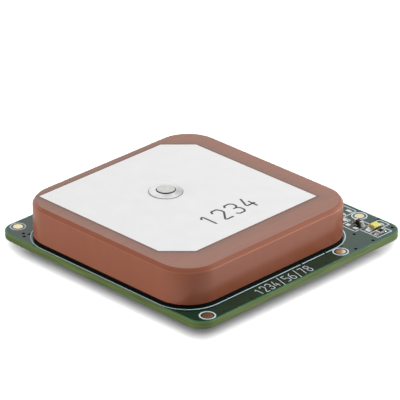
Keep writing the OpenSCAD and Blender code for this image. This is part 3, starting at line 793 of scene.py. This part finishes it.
def ink_lines(paths, z, width, material, corner=PRINT_CORNER):
    """Printed lines along paths, each a list of points and whether it closes."""
    look = bpy.context.scene.board_look
    verts, edges = [], []
    for points, closed in paths:
        first = len(verts)
        verts.extend((p[0], p[1], z + look.ink / 2) for p in points)
        edges.extend((first + i, first + i + 1) for i in range(len(points) - 1))
        if closed:
            edges.append((len(verts) - 1, first))
    source = bpy.data.meshes.new("paths")
    source.from_pydata(verts, edges, [])
    return run_tree(ink_tree(), source, {
        "Line width": width, "Ink height": look.ink, "Corner radius": corner, "Ink": material})


def dots(points, radius, depth, material):
    """Round dots centred on points."""
    source = bpy.data.meshes.new("points")
    source.from_pydata([tuple(p) for p in points], [], [])
    return run_tree(dot_tree(), source, {"Radius": radius, "Depth": depth, "Finish": material})


# Single-stroke digits in a cell 0.6 wide and 1 high
STROKES = {
    "1": [[(0.08, 0.74), (0.34, 1.0), (0.34, 0.0)]],
    "2": [[(0.0, 0.8), (0.12, 1.0), (0.48, 1.0), (0.6, 0.8), (0.6, 0.6), (0.0, 0.0), (0.6, 0.0)]],
    "3": [[(0.0, 0.85), (0.12, 1.0), (0.48, 1.0), (0.6, 0.85), (0.6, 0.65), (0.45, 0.52), (0.25, 0.52)],
          [(0.45, 0.52), (0.6, 0.38), (0.6, 0.15), (0.48, 0.0), (0.12, 0.0), (0.0, 0.15)]],
    "4": [[(0.36, 1.0), (0.0, 0.3), (0.62, 0.3)], [(0.46, 0.6), (0.46, 0.0)]],
    "5": [[(0.56, 1.0), (0.06, 1.0), (0.03, 0.55), (0.42, 0.6), (0.6, 0.45), (0.6, 0.15),
           (0.45, 0.0), (0.0, 0.04)]],
    "6": [[(0.5, 1.0), (0.2, 0.85), (0.0, 0.5), (0.0, 0.15), (0.15, 0.0), (0.45, 0.0),
           (0.6, 0.15), (0.6, 0.4), (0.45, 0.55), (0.15, 0.55), (0.0, 0.42)]],
    "7": [[(0.0, 1.0), (0.6, 1.0), (0.2, 0.0)]],
    "8": [[(0.15, 0.54), (0.02, 0.7), (0.02, 0.87), (0.15, 1.0), (0.45, 1.0), (0.58, 0.87),
           (0.58, 0.7), (0.45, 0.54), (0.15, 0.54), (0.0, 0.38), (0.0, 0.15), (0.15, 0.0),
           (0.45, 0.0), (0.6, 0.15), (0.6, 0.38), (0.45, 0.54)]],
    "/": [[(0.05, -0.22), (0.55, 1.2)]],
}
# A cell's unit of width, in pitches of the row
CELL_WIDTH = 1.05


def digit_paths(text, start, height, pitch):
    """Paths of a row of digits that reads along +X from its lower left corner."""
    paths = []
    for i, sign in enumerate(text):
        left = start[0] + i * pitch
        for stroke in STROKES[sign]:
            points = [(left + x * CELL_WIDTH * pitch, start[1] + y * height) for x, y in stroke]
            paths.append((points, False))
    return paths


class RECEIVER_OT_stage(bpy.types.Operator):
    """Sets the paper floor, the light tent with its lamps, and the camera"""

    bl_idname = "receiver.stage"
    bl_label = "Stage"

    def execute(self, context):
        look = context.scene.stage_look
        context.scene.view_settings.view_transform = "Standard"
        self.floor(look)
        self.tent(context.scene, look)
        self.lamps(look)
        self.camera(context.scene, look)
        return {"FINISHED"}

    def sheet(self, name, tone, corners):
        """A sheet of matt paper on the table."""
        mesh = bpy.data.meshes.new(name)
        mesh.from_pydata([(x, y, 0) for x, y in corners], [], [range(len(corners))])
        material = bpy.data.materials.new(name)
        tree = empty_tree(material)
        matt = add(tree, "ShaderNodeBsdfDiffuse", {"Color": (tone, tone, tone, 1)})
        add(tree, "ShaderNodeOutputMaterial", {"Surface": matt.outputs["BSDF"]})
        mesh.materials.append(material)
        paper = show(name, mesh)
        return paper

    def floor(self, look):
        """Two sheets in one place: the camera sees one, and the other gives its light back to the object."""
        half = 1500 * MM
        # The second sheet ends in front of the object, along the line where x + y has this value
        front_edge = -39 * MM
        square = [(-half, -half), (half, -half), (half, half), (-half, half)]
        behind = [(front_edge + half, -half), *square[1:], (-half, front_edge + half)]
        seen = self.sheet("paper_seen", look.seen, square)
        seen.visible_diffuse = seen.visible_glossy = False
        seen.visible_transmission = seen.visible_shadow = False
        bounce = self.sheet("paper_bounce", look.paper, behind)
        bounce.visible_camera = bounce.visible_shadow = False
        # Two lamps for the seen paper alone: they make it white and leave the object's soft shadow on it
        lit = bpy.data.collections.new("paper_only")
        lit.objects.link(seen)
        above_camera, straight_down = 11, 90
        front_spread, overhead_spread = 18, 40
        for name, level, height, spread in (
                ("front", look.front, look.elevation + above_camera, front_spread),
                ("overhead", look.overhead, straight_down, overhead_spread)):
            lamp = bpy.data.lights.new(name, "SUN")
            lamp.energy = level * math.pi / math.sin(math.radians(height))
            lamp.angle = math.radians(spread)
            sun = show(name, lamp)
            sun.rotation_euler = (math.radians(straight_down - height), 0, math.radians(look.azimuth))
            sun.light_linking.receiver_collection = lit

    def tent(self, scene, look):
        """A light tent: white to the camera, softer on matt surfaces, with gaps in reflections."""
        # Where the wall's gap and the open front lie, and how near to that direction a reflection
        # begins to see them and sees them whole
        gap_towards, gap_begins, gap_ends = (0.91, 0.24, 0.33), 0.86, 0.97
        mouth_towards, mouth_begins, mouth_ends = (-0.66, -0.54, 0.52), -0.25, 0.25
        world = bpy.data.worlds.new("light_tent")
        scene.world = world
        tree = empty_tree(world)
        path = add(tree, "ShaderNodeLightPath").outputs
        shiny = add(tree, "ShaderNodeMath", {
            0: path["Is Glossy Ray"], 1: path["Is Transmission Ray"]}, operation="MAXIMUM")
        towards = add(tree, "ShaderNodeTexCoord").outputs["Generated"]
        gap = add(tree, "ShaderNodeVectorMath", {0: towards, 1: gap_towards}, operation="DOT_PRODUCT")
        wall = add(tree, "ShaderNodeMapRange", {
            "Value": gap.outputs["Value"], "From Min": gap_begins, "From Max": gap_ends,
            "To Min": 1.0, "To Max": look.gap})
        front = add(tree, "ShaderNodeVectorMath", {0: towards, 1: mouth_towards}, operation="DOT_PRODUCT")
        mouth = add(tree, "ShaderNodeMapRange", {
            "Value": front.outputs["Value"], "From Min": mouth_begins, "From Max": mouth_ends,
            "To Min": 1.0, "To Max": look.mouth})
        seen = add(tree, "ShaderNodeMath", {
            0: wall.outputs["Result"], 1: mouth.outputs["Result"]}, operation="MULTIPLY")
        level = add(tree, "ShaderNodeMix", {
            "Factor": shiny.outputs["Value"], "A": look.tent, "B": seen.outputs["Value"]})
        white = add(tree, "ShaderNodeMix", {
            "Factor": path["Is Camera Ray"], "A": level.outputs["Result"], "B": 1.0})
        tent = add(tree, "ShaderNodeBackground", {"Color": (1, 1, 1, 1), "Strength": white.outputs["Result"]})
        add(tree, "ShaderNodeOutputWorld", {"Surface": tent.outputs["Background"]})

    def lamps(self, look):
        """Two softboxes for matt surfaces, and a strip and a card that only reflections show."""
        key = self.softbox("key", look.key, bearing=-30, height=30, size=(300 * MM, 300 * MM))
        fill = self.softbox("fill", look.fill, bearing=154, height=8, size=(300 * MM, 60 * MM))
        glint = self.softbox("glint", look.glint, bearing=-46, height=7, size=(400 * MM, 30 * MM))
        key.visible_glossy = fill.visible_glossy = False
        glint.visible_diffuse = False
        card_width, card_depth, card_place = 56 * MM, 29 * MM, (24 * MM, -30 * MM, 0.5 * MM)
        card = self.panel("card", (card_width, card_depth))
        card.data.energy = look.card * math.pi * card_width * card_depth
        card.location = card_place
        card.rotation_euler = (math.pi, 0, 0)
        card.visible_diffuse = False

    def panel(self, name, size):
        """A flat lamp that the camera doesn't see."""
        lamp = bpy.data.lights.new(name, "AREA")
        lamp.shape = "RECTANGLE"
        lamp.size, lamp.size_y = size
        panel = show(name, lamp)
        panel.visible_camera = False
        return panel

    def softbox(self, name, level, bearing, height, size):
        """A panel that gives a white sheet which faces it the given level."""
        distance = 400 * MM
        bearing, height = math.radians(bearing), math.radians(height)
        outwards = math.cos(height)
        towards = Vector((outwards * math.cos(bearing), outwards * math.sin(bearing), math.sin(height)))
        box = self.panel(name, size)
        box.data.energy = level * (math.pi * distance) ** 2
        box.location = towards * distance
        box.rotation_euler = towards.to_track_quat("Z", "Y").to_euler()
        return box

    def camera(self, scene, look):
        """The photograph's point of view."""
        azimuth = math.radians(look.azimuth)
        elevation = math.radians(look.elevation)
        away = Vector((
            math.sin(azimuth) * math.cos(elevation), -math.cos(azimuth) * math.cos(elevation),
            math.sin(elevation)))
        camera = bpy.data.cameras.new("camera")
        camera.sensor_width = look.sensor
        camera.sensor_fit = "HORIZONTAL"
        camera.lens = look.lens
        nearest = 10 * MM
        camera.clip_start = nearest
        viewer = show("camera", camera)
        viewer.location = Vector(look.aim) + look.distance * away
        viewer.rotation_euler = away.to_track_quat("Z", "Y").to_euler()
        scene.camera = viewer


class RECEIVER_OT_board(bpy.types.Operator):
    """Makes the laminate, and the solder mask on both of its faces"""

    bl_idname = "receiver.board"
    bl_label = "Circuit board"

    def execute(self, context):
        board = context.scene.board_look
        low, high, broken = BOARD_LOW.z, BOARD_HIGH.z, board.broken
        # A narrow ring of flat face beside each edge keeps the edge's shading off the rest
        margin = 0.3 * MM
        profile = [(margin, low), (broken, low), (0, low + broken),
                   (0, high - broken), (broken, high), (margin, high)]
        core = loft([(self.outline(board, inset), z) for inset, z in profile])
        place("board_laminate", to_mesh(core), glass_epoxy(), ["circuit_board"])
        edge, pour = self.outline(board, board.mask_inset), self.outline(board, board.pour_inset)
        for side, z, sign in (("top", high, 1), ("underside", low, -1)):
            windows = self.windows(upper=sign > 0)
            span = sorted((z, z + sign * board.mask))
            place(f"mask_{side}", flat_plate([pour] + windows, *span), mask_on_copper())
            place(f"mask_edge_{side}", flat_plate([edge, pour], *span), mask_on_laminate())
        return {"FINISHED"}

    def outline(self, board, inset):
        """The board's outline drawn in by a distance."""
        return inset_rectangle(BOARD_LOW, BOARD_HIGH, board.corner, inset)

    def windows(self, upper):
        """Openings in the mask round the gold pads on one face of the board."""
        clearance = 0.01 * MM
        return [circle((low + high) / 2, (high.x - low.x) / 2 + clearance)
                for low, high in solids("gold_test_pads") if on_top(low) == upper]


class RECEIVER_OT_pads(bpy.types.Operator):
    """Makes the round gold pads"""

    bl_idname = "receiver.pads"
    bl_label = "Gold pads"

    def execute(self, context):
        edge_share = 0.3
        shape = bmesh.new()
        for low, high in solids("gold_test_pads"):
            radius = (high.x - low.x) / 2
            edge = edge_share * (high.z - low.z)
            margin = 4 * edge
            flat, back = (high.z, low.z) if on_top(low) else (low.z, high.z)
            shoulder = flat - math.copysign(edge, flat - back)
            profile = [(0, back), (radius, back), (radius, shoulder), (radius - edge, flat),
                       (radius - margin, flat), (0, flat)]
            shape.from_mesh(to_mesh(revolve(profile, (low + high) / 2, DISC_STEPS)))
        pads = place("gold_pads", to_mesh(shape), immersion_gold(), ["gold_test_pads"])
        pads.visible_diffuse = pads.visible_glossy = False    # no glint thrown on the block
        return {"FINISHED"}


class RECEIVER_OT_tape(bpy.types.Operator):
    """Makes the black tape under the antenna"""

    bl_idname = "receiver.tape"
    bl_label = "Adhesive tape"

    def execute(self, context):
        antenna = context.scene.antenna_look
        rise = TAPE_HIGH.z - TAPE_LOW.z
        # The cut edge's waist: how far it draws in, in millimetres, at each share of the height
        waist = [(0.02, 0), (0, 0.2), (0.04, 0.5), (0, 0.8), (0.03, 1)]
        rings = [(inset_rectangle(TAPE_LOW, TAPE_HIGH, antenna.corner, inset * MM), TAPE_LOW.z + share * rise)
                 for inset, share in waist]
        place("tape", to_mesh(loft(rings)), black_tape(), ["adhesive_tape"])
        return {"FINISHED"}


class RECEIVER_OT_ceramic(bpy.types.Operator):
    """Makes the ceramic block with its chamfer and eased edges"""

    bl_idname = "receiver.ceramic"
    bl_label = "Ceramic block"

    def execute(self, context):
        antenna = context.scene.antenna_look
        slope = math.degrees(math.atan2(antenna.chamfer_run, antenna.chamfer_drop))
        rings = [(inset_rectangle(CERAMIC_LOW, CERAMIC_HIGH, antenna.corner, inset), z)
                 for inset, z in self.profile(antenna, slope)]
        sharp_turn = 40
        skin = to_mesh(loft(rings), sharp_turn)
        block = place("ceramic_block", skin, fired_ceramic(), ["antenna_ceramic"])
        block.data.materials.append(lapped_ceramic())
        # The third slot paints the rounding below the chamfer paler, as a highlight
        block.data.materials.append(ceramic_painted_highlight())
        fired, lapped, painted_highlight = range(3)
        # The rounding painted pale as a highlight leans back more than the sides and less than the chamfer
        upright, chamfer = 0.05, 0.95 * math.sin(math.radians(slope))
        for face in block.data.polygons:
            rise = face.normal.z
            if abs(rise) > LEVEL_FACE:
                face.material_index = lapped
            else:
                face.material_index = painted_highlight if upright < rise < chamfer else fired
        return {"FINISHED"}

    def profile(self, antenna, slope):
        """The block's side from foot to top, as points of inset and height."""
        low, high = CERAMIC_LOW.z, CERAMIC_HIGH.z
        run, drop, edge, highlight_rounding, lip = (
            antenna.chamfer_run, antenna.chamfer_drop, antenna.edge, antenna.highlight_rounding, antenna.lip)
        reach = highlight_rounding * math.tan(math.radians(slope / 2))
        shoulder = run + lip * math.tan(math.radians((90 - slope) / 2))
        foot_margin, top_margin, top_reach = 1.0 * MM, 0.2 * MM, 3 * MM
        down, out, up = 270, 180, 90
        foot = arc((edge, low + edge), edge, down, out, steps=5)
        side = arc((highlight_rounding, high - drop - reach), highlight_rounding, out, out - slope, steps=6)
        brow = arc((shoulder, high - lip), lip, out - slope, up, steps=10)
        flat = [(shoulder + top_margin, high), (shoulder + top_reach, high)]
        return [(foot_margin, low)] + foot + side + brow + flat


class RECEIVER_OT_electrode(bpy.types.Operator):
    """Makes the silver electrode and the digits on it"""

    bl_idname = "receiver.electrode"
    bl_label = "Electrode"

    def outline(self, cut, inset):
        """The electrode's six-sided outline drawn in by a distance."""
        low = ELECTRODE_LOW + Vector((inset, inset, 0))
        high = ELECTRODE_HIGH - Vector((inset, inset, 0))
        slant = cut - inset * (2 - math.sqrt(2))
        return [Vector(p) for p in (
            (low.x, low.y + slant), (low.x + slant, low.y), (high.x, low.y),
            (high.x, high.y - slant), (high.x - slant, high.y), (low.x, high.y))]

    def execute(self, context):
        antenna = context.scene.antenna_look
        low, high, feather = ELECTRODE_LOW.z, ELECTRODE_HIGH.z, antenna.feather
        upright_share, sharp_turn = 0.3, 20
        margin = 4 * feather
        profile = [(0, low), (0, low + upright_share * (high - low)), (feather, high), (margin, high)]
        plate = to_mesh(loft([(self.outline(antenna.cut, inset), z) for inset, z in profile]), sharp_turn)
        silver = place("silver_electrode", plate, fired_silver(), ["antenna_electrode"])
        silver.data.materials.append(electrode_dark_line())
        for face in silver.data.polygons:
            face.material_index = int(abs(face.normal.z) < LEVEL_FACE)
        tuck, film = 0.02 * MM, 0.006 * MM
        # The thin dark brown line on the ceramic round the electrode
        dark_line = [self.outline(antenna.cut, inset) for inset in (-antenna.dark_line, tuck)]
        place("electrode_bleed", flat_plate(dark_line, low, low + film), electrode_dark_line())
        # The digits start this far from the electrode's corner, and are sunk in the silver
        along, up, pitch, sunk, corner = 7.85 * MM, 2.85 * MM, 1.9 * MM, 0.008 * MM, 0.14 * MM
        start = (ELECTRODE_LOW.x + along, ELECTRODE_LOW.y + up)
        paths = digit_paths(antenna.digits, start, antenna.digit, pitch)
        mesh = ink_lines(paths, high - sunk, antenna.digit_line, etched_grey(), corner)
        place("electrode_digits", mesh, etched_grey())
        return {"FINISHED"}


class RECEIVER_OT_feed(bpy.types.Operator):
    """Makes the feed pin and the solder round its head"""

    bl_idname = "receiver.feed"
    bl_label = "Feed pin"

    shank = 0.5 * MM         # radius of the pin below its head
    edge = 0.02 * MM         # rounding of the head
    rim = 0.1 * MM           # height of the dark band round the head
    flare = 0.09 * MM        # how far that band stands out at its foot

    def execute(self, context):
        centre = (PIN_LOW + PIN_HIGH) / 2
        radius = (PIN_HIGH.x - PIN_LOW.x) / 2
        self.pin(centre, radius)
        self.solder(centre, radius)
        return {"FINISHED"}

    def pin(self, centre, radius):
        """The turned pin, and the band round its head painted dark as shade and reflection."""
        edge, shank, top, face = self.edge, self.shank, PIN_HIGH.z, radius - self.flare
        neck = top - self.rim
        tip, tip_rise, seat = 0.5 * shank, 0.25 * MM, 0.9 * face
        crown, dome = 0.8 * face, 0.004 * MM
        head = [(0, PIN_LOW.z), (tip, PIN_LOW.z), (shank, PIN_LOW.z + tip_rise), (shank, neck),
                (seat, neck), (face, top - 2 * edge), (face, top - edge)]
        head += arc((face - edge, top - edge), edge, start=15, end=90) + [(crown, top - dome), (0, top)]
        place("feed_pin_turned", to_mesh(revolve(head, centre)), turned_pin(), ["feed_pin"])
        # Nearly black band round the head: painted shade and painted reflection
        band = [(0, neck), (radius, neck), (face + edge, top - edge), (face - edge, top - edge),
                (0, top - edge)]
        place("feed_pin_rim", to_mesh(revolve(band, centre)), pin_rim_painted_shade())

    def solder(self, centre, radius):
        """The low mound under the head, and the line of flux round it."""
        shrink, tuck, lip, hollow = 0.03 * MM, 0.02 * MM, 0.3, 1.15
        outer = (MOUND_HIGH.x - MOUND_LOW.x) / 2 - shrink
        low, high = MOUND_LOW.z, PIN_HIGH.z - self.rim
        rise = high - low
        mound = [(0, low), (outer, low), (outer, low + lip * rise)]
        for share in (0.1, 0.3, 0.5, 0.7, 0.9):
            height = lip + (1 - lip) * share ** hollow
            mound.append((outer + (radius - outer) * share, low + rise * height))
        mound += [(radius - tuck, high), (0, high)]
        place("feed_mound", to_mesh(revolve(mound, centre)), smooth_solder(), ["feed_solder_top"])
        flux_out, flux_in, film = 0.06 * MM, 0.05 * MM, 0.008 * MM
        ring = [circle(centre, outer + flux_out, ROUND_STEPS), circle(centre, outer - flux_in, ROUND_STEPS)]
        line = flat_plate(ring, ELECTRODE_HIGH.z, ELECTRODE_HIGH.z + film)
        place("feed_flux", line, flux_residue())


def from_front_right(spots):
    """Places on the board, given in millimetres in from its right and its front edge."""
    return [(BOARD_HIGH.x - x * MM, BOARD_LOW.y + y * MM) for x, y in spots]


class RECEIVER_OT_ink(bpy.types.Operator):
    """Prints the white outlines, rings and plain numbers on the board"""

    bl_idname = "receiver.ink"
    bl_label = "Printed ink"

    # Outlines of the parts, in from the right and the front edge, in millimetres, and whether each closes
    light = [(3.5, 1.87), (0.4, 1.87), (0.4, 3.28), (3.5, 3.28)], True
    resistor = [(3.5, 1.87), (3.5, 0.65), (1.38, 0.65), (1.38, 1.87)], False
    bead = [(2.58, 5.37), (4.15, 5.37), (4.15, 3.25), (1.83, 3.25), (1.83, 4.5)], False
    regulator = [(2.58, 5.37), (2.58, 6.38), (0.7, 6.38), (0.55, 6.55), (0.55, 9.9)], False
    divider = [(3.0, 4.05), (3.0, 4.55)], False
    # Ends of the outline's strokes where the print skips, along the block's front, in millimetres
    skips = (15.98, 16.23, 19.58, 19.78)

    def execute(self, context):
        board, antenna = context.scene.board_look, context.scene.antenna_look
        z = BOARD_HIGH.z + board.mask
        paths = self.outline(board, antenna)
        for line, closed in (self.light, self.resistor, self.bead, self.regulator, self.divider):
            paths.append((from_front_right(line), closed))
        rings = [(circle((low + high) / 2, board.ring), True)
                 for low, high in solids("gold_test_pads") if on_top(low)]
        along, up, pitch, corner = 8.85 * MM, 0.38 * MM, 0.8 * MM, 0.05 * MM
        digits = digit_paths(
            board.digits, (BOARD_LOW.x + along, BOARD_LOW.y + up), board.digit, pitch)
        ink = printed_ink()
        place("ink_outlines", ink_lines(paths, z, board.ink_line, ink), ink)
        place("ink_rings", ink_lines(rings, z, board.ring_line, ink), ink)
        mark = [self.mark(board, antenna, z)]
        place("ink_mark", dots(mark, board.mark, board.ink, ink), ink)
        place("ink_digits", ink_lines(digits, z, board.digit_line, ink, corner), ink)
        return {"FINISHED"}

    def outline(self, board, antenna):
        """The outline round the block, broken at two places on its front where the print skips."""
        step = Vector((board.outline_gap, board.outline_gap, 0))
        ring = rounded_rectangle(CERAMIC_LOW - step, CERAMIC_HIGH + step, antenna.corner + board.outline_gap)
        front = CERAMIC_LOW.y - board.outline_gap
        ends = [(CERAMIC_LOW.x + along * MM, front) for along in self.skips]
        last = 3 * (CORNER_STEPS + 1)
        return [([ends[3]] + ring[last:] + ring[:last] + [ends[0]], False), (ends[1:3], False)]

    def mark(self, board, antenna, z):
        """The place of the dot on the outline's front corner."""
        bearing, sweep = math.radians(220), antenna.corner + board.outline_gap
        return (CERAMIC_LOW.x + antenna.corner + sweep * math.cos(bearing),
                CERAMIC_LOW.y + antenna.corner + sweep * math.sin(bearing), z + board.ink / 2)


class RECEIVER_OT_vias(bpy.types.Operator):
    """Lays near-black discs of painted shade on the vias, along the board's edges and between the parts"""

    bl_idname = "receiver.vias"
    bl_label = "Vias"

    # Places in from the right and the front edge, in millimetres
    open_vias = [
        (4.67, 2.9), (4.32, 0.58), (0.3, 3.45), (0.75, 1.15), (7.0, 0.55), (28.8, 27.35), (29.2, 26.8),
        (28.5, 26.8)]
    plugged_vias = [(11.4, 0.6), (22.45, 0.55), (26.35, 0.5)]

    def execute(self, context):
        board = context.scene.board_look
        depth, z = 0.008 * MM, BOARD_HIGH.z + board.mask
        for name, spots, diameter in (
                ("open", self.open_vias, board.via), ("plugged", self.plugged_vias, board.plugged_via)):
            points = [(x, y, z) for x, y in from_front_right(spots)]
            # Each disc is the via's hole drawn as painted shade
            holes = dots(points, diameter / 2, depth, via_painted_shade())
            place(f"vias_{name}", holes, via_painted_shade())
        return {"FINISHED"}


class RECEIVER_OT_chips(bpy.types.Operator):
    """Eases the chips, their end caps and the status light"""

    bl_idname = "receiver.chips"
    bl_label = "Chips and status light"

    def execute(self, context):
        bevel_steps = 3
        for node, recipe, slot, edge_mm in (
                ("resistor_bodies", alumina, "black_epoxy", 0.01),
                ("ferrite_beads", ferrite, "black_epoxy", 0.03),
                ("capacitor_bodies", titanate, "chip_ceramic", 0.03),
                ("chip_end_caps", reflowed_solder, "solder", 0.05),
                ("led_base", led_base_near_black, "led_substrate", 0.01),
                ("led_lens", phosphor, "phosphor", 0.03),
                ("led_terminals", reflowed_solder, "gold_plate", 0.015)):
            ease(f"{node}_eased", node, edge_mm, recipe, bevel_steps)
        place("resistor_coats", self.coats(), resistor_coat())
        return {"FINISHED"}

    def coats(self):
        """The glaze on each resistor's outer face, a little wider than its body."""
        thickness, overlap, corner, corner_steps = 0.02 * MM, 0.03 * MM, 0.05 * MM, 4
        wide = Vector((overlap, overlap, 0))
        shape = bmesh.new()
        for low, high in solids("resistor_bodies"):
            span = (high.z, high.z + thickness) if on_top(low) else (low.z - thickness, low.z)
            outline = rounded_rectangle(low - wide, high + wide, corner, corner_steps)
            shape.from_mesh(to_mesh(loft([(outline, z) for z in span])))
        return to_mesh(shape)


class RECEIVER_OT_solder(bpy.types.Operator):
    """Flows the solder joints at the ends of the chips"""

    bl_idname = "receiver.solder"
    bl_label = "Solder joints"

    def execute(self, context):
        land_rise = 0.11 * MM        # lower solids are lands with no part on them
        pillow_turn = 80
        caps = solids("chip_end_caps") + solids("led_terminals")
        joints = []
        lands = bmesh.new()
        for low, high in solids("solder_fillets"):
            if high.z - low.z < land_rise:
                lands.from_mesh(self.tinned_land(low, high, pillow_turn))
            else:
                joints.append(self.joint_at(low, high, caps))
        starts, spins, sizes = zip(*joints)
        source = bpy.data.meshes.new("ends")
        source.from_pydata(starts, [], [])
        for name, values in (("spin", spins), ("size", sizes)):
            layer = source.attributes.new(name, "FLOAT_VECTOR", "POINT")
            layer.data.foreach_set("vector", [c for value in values for c in value])
        unit = show("unit_joint", self.unit_joint())
        mesh = run_tree(joint_tree(), source, {"Joint": unit, "Solder": reflowed_solder()})
        bpy.data.objects.remove(unit)
        place("solder_joints", mesh, reflowed_solder(), ["solder_fillets"])
        place("tinned_lands", to_mesh(lands, pillow_turn), tinned_copper())
        return {"FINISHED"}

    def joint_at(self, low, high, caps):
        """Where a CAD fillet's joint starts, how it is turned, and its length, width and height."""
        narrow, short_reach, long_reach = 0.6 * MM, 0.34 * MM, 0.5 * MM
        spread, climb = 1.12, 1.15
        middle = (low + high) / 2
        beside = min(caps, key=lambda cap: ((cap[0] + cap[1]) / 2 - middle).length)
        away = middle - (beside[0] + beside[1]) / 2
        if abs(away.x) > abs(away.y):
            across = high.y - low.y
            turn = math.atan2(0, away.x)
            back = Vector((math.copysign(high.x - low.x, away.x), 0, 0)) / 2
        else:
            across = high.x - low.x
            turn = math.atan2(away.y, 0)
            back = Vector((0, math.copysign(high.y - low.y, away.y), 0)) / 2
        start = middle - back
        upper = on_top(low)
        foot = BOARD_HIGH.z if upper else BOARD_LOW.z
        reach = short_reach if across < narrow else long_reach
        return ((start.x, start.y, foot), (0 if upper else math.pi, 0, turn),
                (reach, spread * across, climb * (high.z - low.z)))

    def unit_joint(self):
        """A joint one unit long, wide and high: steep at the part, running out flat, rounded at its sides."""
        steps, taper, steep, gentle = 10, 0.25, 0.7, 0.3
        same_point, sharp_turn = 1e-5, 60
        shape = bmesh.new()
        tops, feet = {}, {}
        for i in range(steps + 1):
            for j in range(steps + 1):
                x = i / steps
                y = (j / steps - 0.5) * (1 - taper * x ** 3)
                side = 1 - abs(2 * j / steps - 1) ** 3
                height = side * (steep * (1 - x) ** 2 + gentle * math.sqrt(max(0.0, 1 - x)))
                tops[i, j] = shape.verts.new((x, y, height))
                feet[i, j] = shape.verts.new((x, y, 0))
        for i in range(steps):
            for j in range(steps):
                cell = ((i, j), (i + 1, j), (i + 1, j + 1), (i, j + 1))
                shape.faces.new([tops[c] for c in cell])
                shape.faces.new([feet[c] for c in reversed(cell)])
        for j in range(steps):
            shape.faces.new((tops[0, j], tops[0, j + 1], feet[0, j + 1], feet[0, j]))
        bmesh.ops.remove_doubles(shape, verts=shape.verts, dist=same_point)
        return to_mesh(shape, sharp_turn)

    def tinned_land(self, low, high, sharp_turn):
        """A pillow of solder over the box of a land."""
        corner, corner_steps = 0.1 * MM, 5
        middle, half = (low + high) / 2, (high - low) / 2
        flat = Vector((half.x, half.y, 0))
        # Shares of the land's width and of its height, from the foot to the crown
        pillow = ((1, 0), (0.98, 0.3), (0.88, 0.65), (0.65, 0.9), (0.35, 0.98), (0.1, 1))
        rings = [(rounded_rectangle(middle - flat * wide, middle + flat * wide, corner * wide, corner_steps),
                  low.z + 2 * half.z * tall) for wide, tall in pillow]
        return to_mesh(loft(rings), sharp_turn)


class RECEIVER_OT_regulator(bpy.types.Operator):
    """Eases the regulator and its bent leads"""

    bl_idname = "receiver.regulator"
    bl_label = "Voltage regulator"

    def execute(self, context):
        ease("regulator_body", "voltage_regulator", 0.04, black_epoxy)
        ease("regulator_pins", "regulator_leads", 0.015, tinplate)
        return {"FINISHED"}


class RECEIVER_OT_can(bpy.types.Operator):
    """Finishes the shield can in tinplate"""

    bl_idname = "receiver.can"
    bl_label = "Shield can"

    def execute(self, context):
        ease("can_folded", "shield_can", 0.02, tinplate)
        return {"FINISHED"}


class RECEIVER_OT_cell(bpy.types.Operator):
    """Finishes the coin cell and its welded tabs in nickel"""

    bl_idname = "receiver.cell"
    bl_label = "Backup cell"

    def execute(self, context):
        ease("cell_can", "backup_cell", 0, nickel_steel)
        ease("cell_tabs", "backup_cell_tabs", 0.02, nickel_steel)
        return {"FINISHED"}


class RECEIVER_OT_connector(bpy.types.Operator):
    """Eases the wire connector, its contacts and hold-down tabs"""

    bl_idname = "receiver.connector"
    bl_label = "Wire connector"

    def execute(self, context):
        ease("connector_shell", "connector_housing", 0.06, nylon)
        ease("connector_pins", "connector_contacts", 0.02, tinplate)
        ease("connector_holds", "connector_tabs", 0.03, tinplate)
        return {"FINISHED"}


class RECEIVER_OT_inner(bpy.types.Operator):
    """Gives the parts that the can and the antenna hide their finishes"""

    bl_idname = "receiver.inner"
    bl_label = "Hidden parts"

    def execute(self, context):
        recipes = {
            "antenna_ground": fired_silver, "feed_solder_bottom": reflowed_solder,
            "receiver_chip": black_epoxy, "receiver_chip_lands": reflowed_solder,
            "flash_memory": black_epoxy, "low_noise_amplifier": black_epoxy,
            "oscillator_base": titanate, "oscillator_lid": nickel_steel,
            "crystal_base": titanate, "crystal_lid": nickel_steel,
            "saw_filter": alumina, "power_inductor": ferrite}
        for node, recipe in recipes.items():
            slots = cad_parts[node].data.materials
            slots.clear()
            slots.append(recipe())
        return {"FINISHED"}


PIECES = (
    RECEIVER_OT_stage, RECEIVER_OT_board, RECEIVER_OT_pads, RECEIVER_OT_tape, RECEIVER_OT_ceramic,
    RECEIVER_OT_electrode, RECEIVER_OT_feed, RECEIVER_OT_ink, RECEIVER_OT_vias, RECEIVER_OT_chips,
    RECEIVER_OT_solder, RECEIVER_OT_regulator, RECEIVER_OT_can, RECEIVER_OT_cell, RECEIVER_OT_connector,
    RECEIVER_OT_inner)
LOOKS = {"board_look": BoardLook, "antenna_look": AntennaLook, "stage_look": StageLook}


class RECEIVER_PT_pieces(bpy.types.Panel):
    """Lists the steps that build the module"""

    bl_idname = "RECEIVER_PT_pieces"
    bl_label = "Receiver module"
    bl_space_type = "VIEW_3D"
    bl_region_type = "UI"
    bl_category = "Receiver"

    def draw(self, context):
        for piece in PIECES:
            self.layout.operator(piece.bl_idname)


def register():
    """Registers the property groups, the operators and the panel."""
    for name, group in LOOKS.items():
        bpy.utils.register_class(group)
        setattr(bpy.types.Scene, name, PointerProperty(type=group))
    for item in (*PIECES, RECEIVER_PT_pieces):
        bpy.utils.register_class(item)


def unregister():
    """Takes them out again."""
    for item in (RECEIVER_PT_pieces, *reversed(PIECES)):
        bpy.utils.unregister_class(item)
    for name, group in LOOKS.items():
        delattr(bpy.types.Scene, name)
        bpy.utils.unregister_class(group)


def main():
    """Builds every piece in order."""
    register()
    for piece in PIECES:
        group, name = piece.bl_idname.split(".")
        getattr(getattr(bpy.ops, group), name)()


if __name__ == "__main__":
    main()
